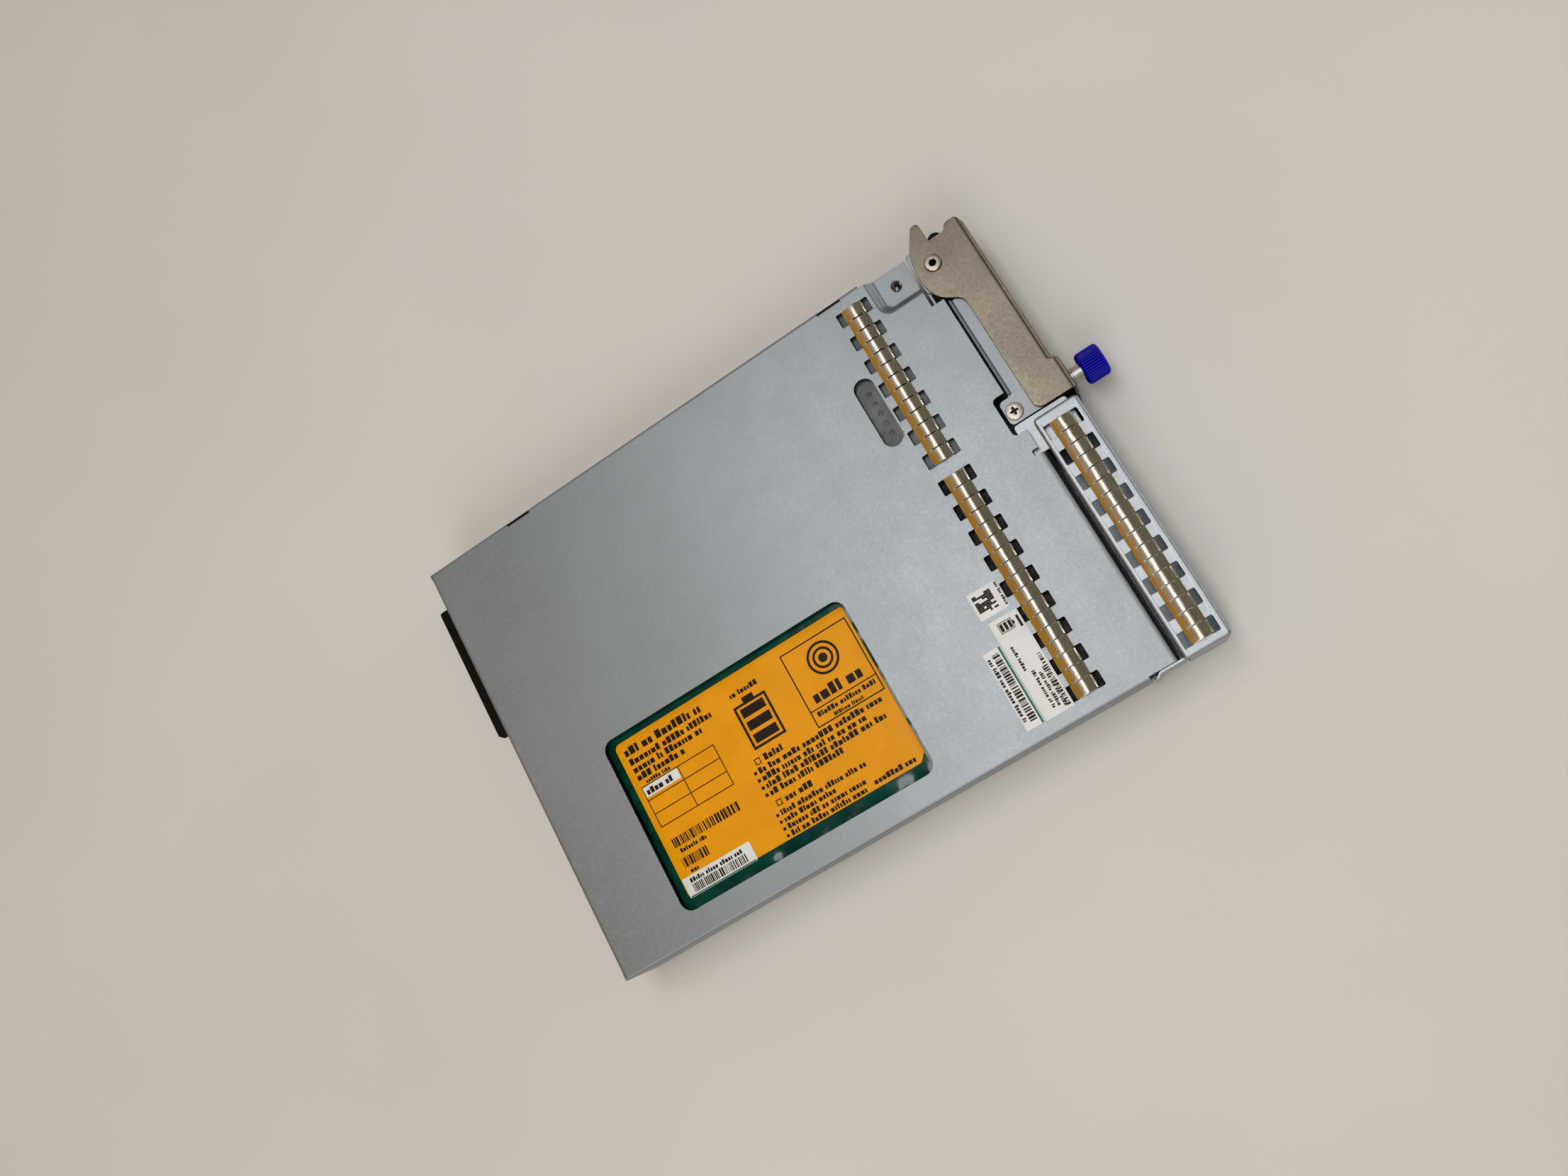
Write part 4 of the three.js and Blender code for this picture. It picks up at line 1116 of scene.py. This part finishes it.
def lever_claw(flat_x):
    """The lever's upper arm from its front wall round the claw and back to the free end."""
    _, (end, tip), _ = node_box("lever")
    rear = 98.6
    curves = [
        [(flat_x, 80.9), (108.6, 80.9)],
        [(108.6, 80.9), (107.2, 80.9)],
        [(107.2, 80.9), (106, 80.9), (105.3, 79.9)],
        [(105.3, 79.9), (104.4, 78.2), (103, 78.2)],
        [(103, 78.2), (100.9, 78.2)],
        [(100.9, 78.2), (rear, 78.2), (rear, 80)],
        [(rear, 80), (rear, 84.7)],
        [(rear, 84.7), (98.5, tip), (96.9, tip)],
        [(96.9, tip), (96, tip), (95.4, 85.2)],
        [(95.4, 85.2), (91.8, 79.4)],
        [(91.8, 79.4), (89.6, 74.5), (88.6, 66.5), (91.3, 61.5)],
        [(91.3, 61.5), (92.6, 59), (96, 57.2)],
        [(96, 57.2), (rear, 56), (rear, 52.6)],
        [(rear, 52.6), (rear, end + 3.6)],
        [(rear, end + 3.6), (rear, end), (rear + 3.6, end)],
    ]
    points = []
    for control in curves:
        steps = 1 if len(control) == 2 else 8
        for i in range(steps):
            points.append(bezier(control, i / steps))
    points.append(curves[-1][-1])
    return points


def bezier(control, t):
    """The point at t on a curve with any number of control points."""
    points = [Vector(p) for p in control]
    while len(points) > 1:
        points = [a.lerp(b, t) for a, b in zip(points, points[1:])]
    return tuple(points[0])


def make_lever():
    """Two mirrored arms and the front wall between them, folded from one sheet, its end tab set forward."""
    _, (end, _), (low, top) = node_box("lever")
    flat_x = LEVER_FRONT - LEVER_R
    height = top - low
    arc_points = fold(LEVER_R, 0.01, 8).points[:-1]
    lower = [Vector((p.x, -height - p.y)) for p in reversed(arc_points)]
    profile = Profile([*arc_points, *lower, Vector((-30, -height))])
    wall = profile.marks[len(arc_points) + len(lower) - 1]
    claw = lever_claw(flat_x)
    mirror = 2 * flat_x + wall
    mirrored = [(mirror - x, y) for x, y in reversed(claw)]
    shoulder = [(flat_x + 0.9, 80.2), (flat_x + 1.8, 78.6), (flat_x + 2.6, 78.2)]
    back = [(mirror - x, y) for x, y in shoulder]
    outline = [*claw, *mirrored, *back, *reversed(shoulder)]
    px, py = PIVOT_AT
    shaft_hole = circle(mirror / 2, SCREW_AT[0], 2.45)
    holes = [circle(px, py, RIVET_HOLE), circle(mirror - px, py, RIVET_HOLE), shaft_hole]
    lines = [[(flat_x + m, 0), (flat_x + m, 90)] for m in (-0.5, *profile.marks[:-1], wall + 0.5)]
    lines += [[(90, TAB_TOP + k * 0.16), (180, TAB_TOP + k * 0.16)] for k in range(-3, 4)]
    for k in (3, 2, 1):
        lines.append([(flat_x - k * 1.4, 0), (flat_x - k * 1.4, TAB_TOP + 1)])
        lines.append([(flat_x + wall + k * 1.4, 0), (flat_x + wall + k * 1.4, TAB_TOP + 1)])

    def place(u, v, depth):
        out, up = profile.at(u - flat_x, depth) if u > flat_x else (u - flat_x, -depth)
        forward = ease((TAB_TOP + 0.45 - v) / 0.9) * ease((out + 5) / 5)
        return flat_x + out + forward * (TAB_FRONT - LEVER_FRONT), v, top + up

    make_sheet("lever_plate", [outline[::-1], *holes], place, "nickel", ["lever"], LEVER,
               thick=LEVER_SHEET, lines=lines, edge=0.22)


def make_rivet():
    """A tubular rivet with rolled heads."""
    _, _, (low, high) = node_box("lever_rivet")
    bore = 1.1
    profile = [(bore, high - 0.25), (bore + 0.08, high - 0.08), (bore + 0.25, high), (2.45, high)]
    profile += [(2.95 - r, high - d) for r, d in [(0.28, 0.06), (0.1, 0.18), (0, 0.36)]]
    profile += [(2.95, high - 0.5), (2.0, high - 0.52)]
    profile += [(2.0, low + 0.52), (2.95, low + 0.5), (2.95, low + 0.36)]
    profile += [(2.95 - r, low + d) for r, d in [(0.1, 0.18), (0.28, 0.06)]]
    profile += [(2.45, low), (bore + 0.25, low), (bore + 0.08, low + 0.08), (bore, low + 0.25)]
    verts, faces = turned(profile, 48, PIVOT_AT, "Z")
    make_piece("rivet", verts, faces, [SCREW_NICKEL], HOUSING, "tin", ["lever_rivet"])


def make_ferrule():
    """The thumbscrew's silver ferrule, with a groove behind its collar."""
    (back, tip), _, _ = node_box("thumbscrew_ferrule")
    collar = 113.35
    profile = [(1.8, back), (2.1, back), (2.2, back + 0.1), (2.2, collar)]
    groove = collar + 0.6
    profile += [(2.6, collar), (2.75, collar + 0.12), (2.75, groove - 0.1), (2.5, groove)]
    profile += [(2.5, groove + 0.25), (2.75, groove + 0.35), (2.75, tip - 0.35), (2.62, tip - 0.1)]
    profile += [(2.4, tip), (1.8, tip)]
    verts, faces = turned(profile, 48, SCREW_AT)
    make_piece("ferrule", verts, faces, [SILVER], LEVER, "tin", ["thumbscrew_ferrule"])


def make_knob():
    """The blue knob: axial ribs between two chamfers, a dished face and the bore for ferrule and spring."""
    (back, face), _, _ = node_box("thumbscrew_knob")
    ribs, per_rib, rib_depth = 36, 6, 0.36
    outer = 5.5
    bore, floor, middle = 3.05, 124.0, 0.6
    outside = [  # distance along the axis, radius, share of the full rib depth
        (back, 4.35, 0), (back, 4.7, 0), (back + 0.15, 4.95, 0), (back + 0.55, 5.3, 0.2),
        (back + 0.95, outer, 1), (face - 0.95, outer, 1), (face - 0.5, 5.3, 0.3), (face - 0.15, 4.95, 0),
        (face, 4.55, 0), (face, 3.4, 0), (face - 0.12, 3.1, 0), (face - 0.12, middle, 0),
    ]
    inside_bore = [(floor, middle, 0), (floor, bore, 0), (back + 0.3, bore, 0), (back, bore + 0.3, 0)]
    verts, faces = [], []
    count = ribs * per_rib
    rings = [*outside, *inside_bore]
    face_ring = len(outside) - 1
    cy, cz = SCREW_AT
    for x, r, ribbed in rings:
        for i in range(count):
            turn = 2 * math.pi * i / count
            wave = abs(math.sin(math.pi * i / per_rib)) ** 0.7
            radius = r - rib_depth * ribbed * (1 - wave)
            verts.append((x, cy + radius * math.cos(turn), cz + radius * math.sin(turn)))
    for k in range(len(rings)):
        if k == face_ring:
            continue
        a, b = k * count, (k + 1) % len(rings) * count
        for i in range(count):
            j = (i + 1) % count
            faces.append((a + i, a + j, b + j, b + i))
    for k in (face_ring, face_ring + 1):
        faces.append(tuple(k * count + i for i in range(count)))
    verts, faces = weld(verts, faces)
    make_piece("knob", verts, faces, [BLUE], THUMBSCREW, "blue_plastic", ["thumbscrew_knob"], smooth=38)


# ---- Screws ----

def cross(cx, cy, reach, half):
    """A cross-shaped recess with eased corners."""
    arm = [(reach, -half * 0.6), (reach, half * 0.6), (half, half), (half * 0.6, reach)]
    points = []
    for quarter in range(4):
        c, s = round(math.cos(quarter * math.pi / 2)), round(math.sin(quarter * math.pi / 2))
        points += [(x * c - y * s, x * s + y * c) for x, y in arm[1:]]
    loop = soft_corners(points, 0.12, 2)
    return [(cx + x, cy + y) for x, y in loop]


def make_screw(node, name, look, radius, crown, rim, reach, half):
    """A screw head with a driver recess: crown is how far its middle stands above its rim."""
    (x0, x1), (y0, y1), (_, high) = node_box(node)
    cx, cy = (x0 + x1) / 2, (y0 + y1) / 2
    rings = [circle(cx, cy, radius * k, 40) for k in (0.62, 0.8, 0.93)]
    lines = [[*ring, ring[0]] for ring in rings]

    def place(u, v, depth):
        r = math.hypot(u - cx, v - cy) / radius
        return u, v, high - depth - crown * r ** 2.4

    head = [circle(cx, cy, radius, 40), cross(cx, cy, reach, half)]
    verts, faces, _ = sheet_solid(head, place, rim, lines, edge=0.07)
    # A black disc under the cross recess: grime and painted shade at the bottom of the recess.
    recess_shade_disc = circle(cx, cy, reach + 0.5, 24)
    more, tris, _ = sheet_solid([recess_shade_disc], level_at(high - rim - 0.06), 0.3, edge=0.04)
    parts = [0] * len(faces) + [1] * len(tris)
    add_to(verts, faces, more, tris)
    make_piece(name, verts, faces, [look, BLACK], HOUSING, "nickel", [node], parts)


def make_screws():
    make_screw("bracket_screw", "flat_screw_head", SCREW_NICKEL, 2.85, 0.22, 0.75, 1.45, 0.4)
    make_screw("corner_screw", "domed_screw_head", DARK_CHROME, 1.8, 0.75, 0.55, 0.75, 0.22)


# ---- Battery pack and rear connector ----

# Top of the black sheet of painted shade under the lower gasket's clip windows.
SHADE_SHEET_TOP = 22.78
GREY_GUARD_TOP = 22.9
BUMP_STEP = 3.75
BUMPER_AT = (100.9, 79.0)
BUMPER_Z = (4.2, 20.8)

def make_sleeve():
    """Shrink film round the pack: a flat-topped tube curled over both ends, wrinkled beside the label."""
    (x0, x1), (y0, y1), (z0, z1) = node_box("pack_sleeve")
    (lx0, lx1), (ly0, ly1), _ = node_box("pack_label")
    film, curl = 0.22, 2.6
    r = (z1 - z0) / 2
    draw = random.Random(11)
    waves = [(draw.uniform(0.12, 0.75), draw.uniform(-1.1, 1.1), draw.uniform(0, 6.3)) for _ in range(9)]
    top = [x1 - r + (x0 + 2 * r - x1) * i / 150 for i in range(151)]
    section = [(x, z1, 0, 1) for x in top]
    half_turn = [math.pi * i / 14 for i in range(1, 14)]

    def end_round(cx, start):
        turns = [(math.cos(start + t), math.sin(start + t)) for t in half_turn]
        return [(cx + r * nx, z0 + r + r * nz, nx, nz) for nx, nz in turns]

    section += end_round(x0 + r, math.pi / 2)
    section += [(x, z0, 0, -1) for x in top[::-5]]
    section += end_round(x1 - r, -math.pi / 2)
    run = [y0 + 0.3 + (y1 - y0 - 0.6) * i / 70 for i in range(71)]
    path = [(curl, y0), (0.9, y0), (0.3, y0 + 0.06), (0.06, y0 + 0.15), *[(0, y) for y in run]]
    path += [(0.06, y1 - 0.15), (0.3, y1 - 0.06), (0.9, y1), (curl, y1), (curl, y1 - film), (0.9, y1 - film)]
    path += [(film, y) for y in run[::-2]]
    path += [(0.9, y0 + film), (curl, y0 + film)]
    verts, faces = [], []
    for x, z, nx, nz in section:
        for inset, y in path:
            rise = 0.0
            if nz > 0.5 and inset < curl:
                away = max(lx0 - 0.6 - x, x - lx1 - 0.5, ly0 - 0.6 - y, y - ly1 - 0.5)
                wave = sum(math.sin(a * x + b * y + c) for a, b, c in waves) / 5
                slack = max(ease((ly0 - y) / 1.5 + 0.5), ease((x - lx1) / 1.5 + 0.5), 0.12)
                rise = (0.42 * wave - 0.1) * slack * ease(away / 1.5)
                rise = min(rise, 0.34)
            inset += 0.5 * math.sin(x * 1.1 + z) * (inset >= curl)
            verts.append((x - nx * (inset - rise), y, z - nz * (inset - rise)))
    n, m = len(section), len(path)
    for i in range(n):
        for k in range(m):
            a, b = i * m + k, i * m + (k + 1) % m
            j = (i + 1) % n
            faces.append((a, b, j * m + (k + 1) % m, j * m + k))
    verts, faces = weld(verts, faces)
    make_piece("film_sleeve", verts, faces, [FILM], HOUSING, "green_film", ["pack_sleeve"], smooth=50)


def make_guards():
    """Thin sheets under the two cover gaskets: a grey film under the upper one, so that its clips don't chafe the
    pack or the board, and a black sheet under the lower one, painted shade that darkens its clip windows.
    """
    # The black sheet under the lower gasket is painted shade, darkening its clip windows.
    rows = (("gasket_lower", SHADE_SHEET_TOP, "black_plastic"),
            ("gasket_upper", GREY_GUARD_TOP, "grey_film"))
    for strip, top, slot in rows:
        x = strip_x(strip)
        _, (low, high), _ = STRIPS[strip]
        outline = rounded((x - 7.5, x + 7.5), (low - 1, high + 1), 1)
        make_sheet(strip + "_guard", [outline], level_at(top), slot, thick=0.12, edge=0.03)


def make_bumps():
    """A row of five low domes pressed up in the insulating film below the obround slot."""
    low = node_box("insulator_sheet")[2][1] - 0.02
    dome = [(0.04, low), (0.95, low), (0.82, low + 0.10), (0.5, low + 0.17), (0.04, low + 0.20)]
    verts, faces = [], []
    for i in range(-2, 3):
        more, tris = turned(dome, 20, (SLOT_X + 0.3, sum(SLOT_Y) / 2 + BUMP_STEP * i), "Z")
        add_to(verts, faces, more, tris)
    make_piece("film_bumps", verts, faces, [GREY_FILM], HOUSING, "grey_film", smooth=50)


def make_slot_shades():
    """Black blocks in the two slots at the cover's pivot-side edge: painted shade that darkens the slots."""
    for number, (x0, x1) in enumerate(EDGE_SLOTS, 1):
        outline = rounded((x0 + 0.15, x1 - 0.15), (SIDE - 1.6, SIDE - 0.4), 0.3)
        place = level_at(TOP - 0.4)
        # Painted shade: a black block sunk in each slot.
        make_sheet(f"edge_slot_shade_{number}", [outline], place, "black_plastic", thick=0.8, edge=0.08)


def make_connector():
    """The black connector: four walls round its mouth and a back, with holes through the top wall."""
    (x0, x1), (y0, y1), (z0, z1) = node_box("connector_shell")
    rim, mouth = 1.2, 5.0
    outline = [(x0, y0 + 1.6), (x0 + 1.6, y0), (x1, y0), (x1, y1), (x0 + 0.5, y1), (x0, y1 - 0.5)]
    holes = [rounded((-113.4, -112.3), (y - 0.55, y + 0.55), 0.2, 2) for y in (24.2, 30.7, 52.9, 59.3)]
    verts, faces = [], []

    def add(loops, place, thick, turned_over=False):
        more, tris, _ = sheet_solid(loops, place, thick, edge=0.1)
        add_to(verts, faces, more, tris, turned_over)

    add([outline, *holes], level_at(z1), rim)
    add([outline], level_at(z0, 1), rim, True)
    floor, roof = z0 + rim - 0.05, z1 - rim + 0.05

    def upright(low, high, rear, thick):
        loop = [(low, floor), (high, floor), (high, roof), (low, roof)]
        add([loop], upright_at(rear, 1), thick, True)

    upright(y0 + 0.1, y1 - 0.1, x0 + mouth, x1 - x0 - mouth)
    upright(y0 + 0.9, y0 + 2, x0 + 0.9, mouth - 0.8)
    upright(y1 - 2, y1 - 0.15, x0 + 0.9, mouth - 0.8)
    make_piece("connector_body", verts, faces, [BLACK], HOUSING, "black_plastic", ["connector_shell"])


def make_bumper():
    """A black bumper between the bracket's shelves, seen past them in the notch of the lever's claw."""
    low, high = BUMPER_Z
    profile = [(0.9, low), (2.2, low), (2.6, low + 0.4), (2.6, high - 0.4), (2.2, high), (0.9, high)]
    verts, faces = turned(profile, 40, BUMPER_AT, "Z")
    make_piece("claw_bumper", verts, faces, [BLACK], HOUSING, "black_plastic", smooth=30)


# ---- Labels, with abstract print ----

class Print:
    """Flat print of blocks and bars: along the text is a, up the text is b, from an origin and a turn."""

    def __init__(self, seed, origin=(0, 0), turn=0):
        self.draw = random.Random(seed)
        self.origin = origin
        self.turn = math.radians(turn)
        self.areas = []

    def area(self, points, look=1):
        c, s = math.cos(self.turn), math.sin(self.turn)
        ox, oy = self.origin
        self.areas.append(([(ox + a * c - b * s, oy + a * s + b * c) for a, b in points], look))

    def box(self, a0, a1, b0, b1, look=1):
        self.area([(a0, b0), (a1, b0), (a1, b1), (a0, b1)], look)

    def ring(self, a, b, r, width, look=1, paper=0):
        self.area(circle(a, b, r, 28), look)
        self.area(circle(a, b, r - width, 28), paper)

    def frame(self, a0, a1, b0, b1, width, look=1, paper=0):
        self.box(a0, a1, b0, b1, look)
        self.box(a0 + width, a1 - width, b0 + width, b1 - width, paper)

    def text(self, a, b, length, height, look=1):
        """A line of abstract marks in word-like groups, standing for text."""
        end = a + length
        while a < end - height:
            for _ in range(self.draw.randint(2, 7)):
                width = height * self.draw.choice((0.36, 0.52, 0.6, 0.7))
                tall = height * self.draw.choice((0.72, 0.72, 1.0))
                if a + width > end:
                    return
                self.box(a, a + width, b, b + tall, look)
                a += width + height * 0.16
            a += height * 0.42

    def bars(self, a0, a1, b0, b1, look=1, thin=0.22):
        """A row of bars of random widths that encode nothing."""
        a = a0
        while a < a1 - 3 * thin:
            width = thin * self.draw.choice((1, 1, 2, 3))
            self.box(a, a + width, b0, b1, look)
            a += width + thin * self.draw.choice((1, 1, 2))

    def grid(self, a0, b0, cell, count, look=1):
        """A square of random cells that encode nothing."""
        for i in range(count):
            b = b0 + i * cell
            k = 0
            while k < count:
                length = self.draw.randint(1, 3)
                if self.draw.random() < 0.6:
                    end = min(count, k + length)
                    self.box(a0 + k * cell, a0 + end * cell - 0.02, b + 0.01, b + cell - 0.01, look)
                k += length


def battery_sign(sheet, a, b, wide, high):
    """A plain battery pictogram: a case with a terminal and three level bars."""
    line = wide * 0.07
    cap = high * 0.1
    sheet.box(a + wide * 0.33, a + wide * 0.67, b + high - cap, b + high)
    sheet.frame(a, a + wide, b, b + high - cap, line)
    step = (high - cap - 2 * line) / 3
    for i in range(3):
        low = b + line + i * step + line * 0.8
        sheet.box(a + 2 * line, a + wide - 2 * line, low, low + step - line * 1.6)


def label_print(x0, y1):
    """The battery label's print, from its rear and pivot-side corner."""
    sheet = Print(3, (x0, y1))
    sheet.text(2.4, -5.4, 33, 2.9)
    for row, length in enumerate((35, 29, 21)):
        sheet.text(2.6, -8.8 - row * 2.9, length, 2.3)
    sheet.text(4.9, -16.6, 10.5, 1.3)
    table = (2.2, 31.9, -32.0, -16.9)
    sheet.frame(*table, 0.34)
    for b in (-22.0, -27.0):
        sheet.box(2.2, 31.9, b - 0.17, b + 0.17)
    sheet.box(17.0, 17.34, -32.0, -16.9)
    sheet.box(2.5, 16.6, -20.9, -17.3, 2)
    sheet.text(3.4, -20.3, 12.6, 2.2)
    sheet.bars(3.3, 30.2, -40.3, -37.0, thin=0.27)
    sheet.text(4.6, -42.6, 10.5, 1.5)
    sheet.bars(3.3, 13.6, -47.6, -44.3, thin=0.27)
    sheet.text(4.6, -49.9, 3.6, 1.5)
    sheet.text(44.5, -7.2, 11, 1.8)
    battery_sign(sheet, 43.6, -26.0, 12.6, 17.4)
    sheet.frame(66.0, 91.6, -30.6, -3.6, 0.45)
    sheet.box(66.0, 91.6, -25.1, -24.7)
    for r, width in ((5.6, 0.9), (3.6, 0.9), (1.6, 1.6)):
        sheet.ring(78.8, -11.3, r, width - 0.01)
    sheet.text(69.4, -23.4, 19.5, 4.0)
    sheet.text(68.0, -27.5, 22, 1.7)
    sheet.text(73.0, -29.8, 12, 1.3)
    sheet.frame(41.6, 43.8, -30.6, -28.4, 0.35)
    sheet.text(45.2, -30.5, 7.5, 2.3)
    for row, length in enumerate((50, 41, 47, 30)):
        b = -33.5 - row * 2.65
        sheet.box(39.5, 40.6, b + 0.3, b + 1.4)
        sheet.text(41.4, b, length, 2.1)
    sheet.frame(41.6, 43.7, -45.6, -43.5, 0.35)
    sheet.text(45.0, -45.5, 11, 2.2)
    for row, length in enumerate((35, 22, 30, 29)):
        b = -48.7 - row * 2.45
        sheet.box(39.5, 40.5, b + 0.2, b + 1.2)
        sheet.text(41.4, b, length, 1.85)
    sheet.text(73.5, -55.4, 15.5, 1.85)
    return sheet.areas


def sticker(name, outline, top, thick, prints, looks, slot, replaces=()):
    """A flat printed sheet; looks are its paper and its inks."""
    verts, faces, printed = sheet_solid([outline], level_at(top), thick, edge=0.02, prints=prints)
    make_piece(name, verts, faces, looks, HOUSING, slot, replaces, printed, even=False)


def make_labels():
    (x0, x1), (y0, y1), (low, high) = node_box("pack_label")
    outline = [
        *arc(x1 - 1.2, y1 - 1.2, 1.2, 0, 90, 4), *arc(x0 + 2.2, y1 - 2.2, 2.2, 90, 180, 8),
        *arc(x0 + 1.2, y0 + 1.2, 1.2, 180, 270, 4), (x1 - 2.6, y0), (x1, y0 + 2.6),
    ]
    sticker("battery_label", outline, high, high - low, label_print(x0, y1),
            [ORANGE, INK, WHITE], "orange_label", ["pack_label"])
    tag = Print(5, (x0 + 0.3, y0 - 0.5))
    tag.text(2.6, 4.4, 22, 1.5)
    tag.bars(2.6, 24.5, 1.0, 3.9)
    tag.box(0.4, 26.4, 0.12, 0.55, 2)
    white = rounded((x0 + 0.3, x0 + 27.2), (y0 - 0.5, y0 + 6.3), 0.5)
    sticker("pack_tag", white, high + 0.1, 0.08, tag.areas, [WHITE, INK, GREEN_INK], "orange_label")

    code = Print(7, (50.1, -38.0))
    code.grid(0.35, 1.3, 0.72, 9)
    side = Print(8, (58.9, -29.4), -90)
    side.text(0, 0, 8.4, 1.0)
    sticker("code_sticker", rounded((49.5, 59.8), (-38.3, -28.8), 0.3), TOP + 0.1, 0.1,
            code.areas + side.areas, [WHITE, INK], "zinc_sheet")

    long = Print(9, (60.6, -40.2), -90)
    battery_sign(long, 1.2, -7.6, 3.6, 5.4)
    long.box(1.6, 5.6, -1.2, -0.35)
    for row, (start, length) in enumerate(((9.5, 9), (19.0, 14.5), (20.5, 12.5), (19.5, 14))):
        long.text(start, -7.6 + row * 1.75, length, 1.15)
    long.bars(15.2, 33.6, -1.6, -0.4, thin=0.26)
    sticker("rating_sticker", rounded((50.9, 61.0), (-74.6, -39.9), 0.4), TOP + 0.1, 0.1, long.areas,
            [WHITE, INK], "zinc_sheet")

    strip = Print(10, (50.4, -47.4), -90)
    strip.box(0.1, 27.0, -0.75, -0.1, 2)
    strip.bars(1.6, 25.4, -3.7, -1.3, thin=0.26)
    strip.text(2.2, -5.6, 22.5, 1.35)
    sticker("serial_sticker", rounded((44.3, 50.4), (-74.5, -47.4), 0.3), TOP + 0.1, 0.1, strip.areas,
            [WHITE, INK, GREEN_INK], "zinc_sheet")


def build_pieces():
    make_cover()
    make_tray()
    for seed, strip in enumerate(STRIPS):
        make_gasket(strip, seed)
    make_bezel()
    make_bracket()
    make_lever()
    make_rivet()
    make_ferrule()
    make_knob()
    make_screws()
    make_sleeve()
    make_guards()
    make_bumps()
    make_slot_shades()
    make_connector()
    make_bumper()
    make_labels()


# ---- The scene ----

make_camera()
make_lights()
make_room()
make_floor()
dress_nodes()
build_pieces()
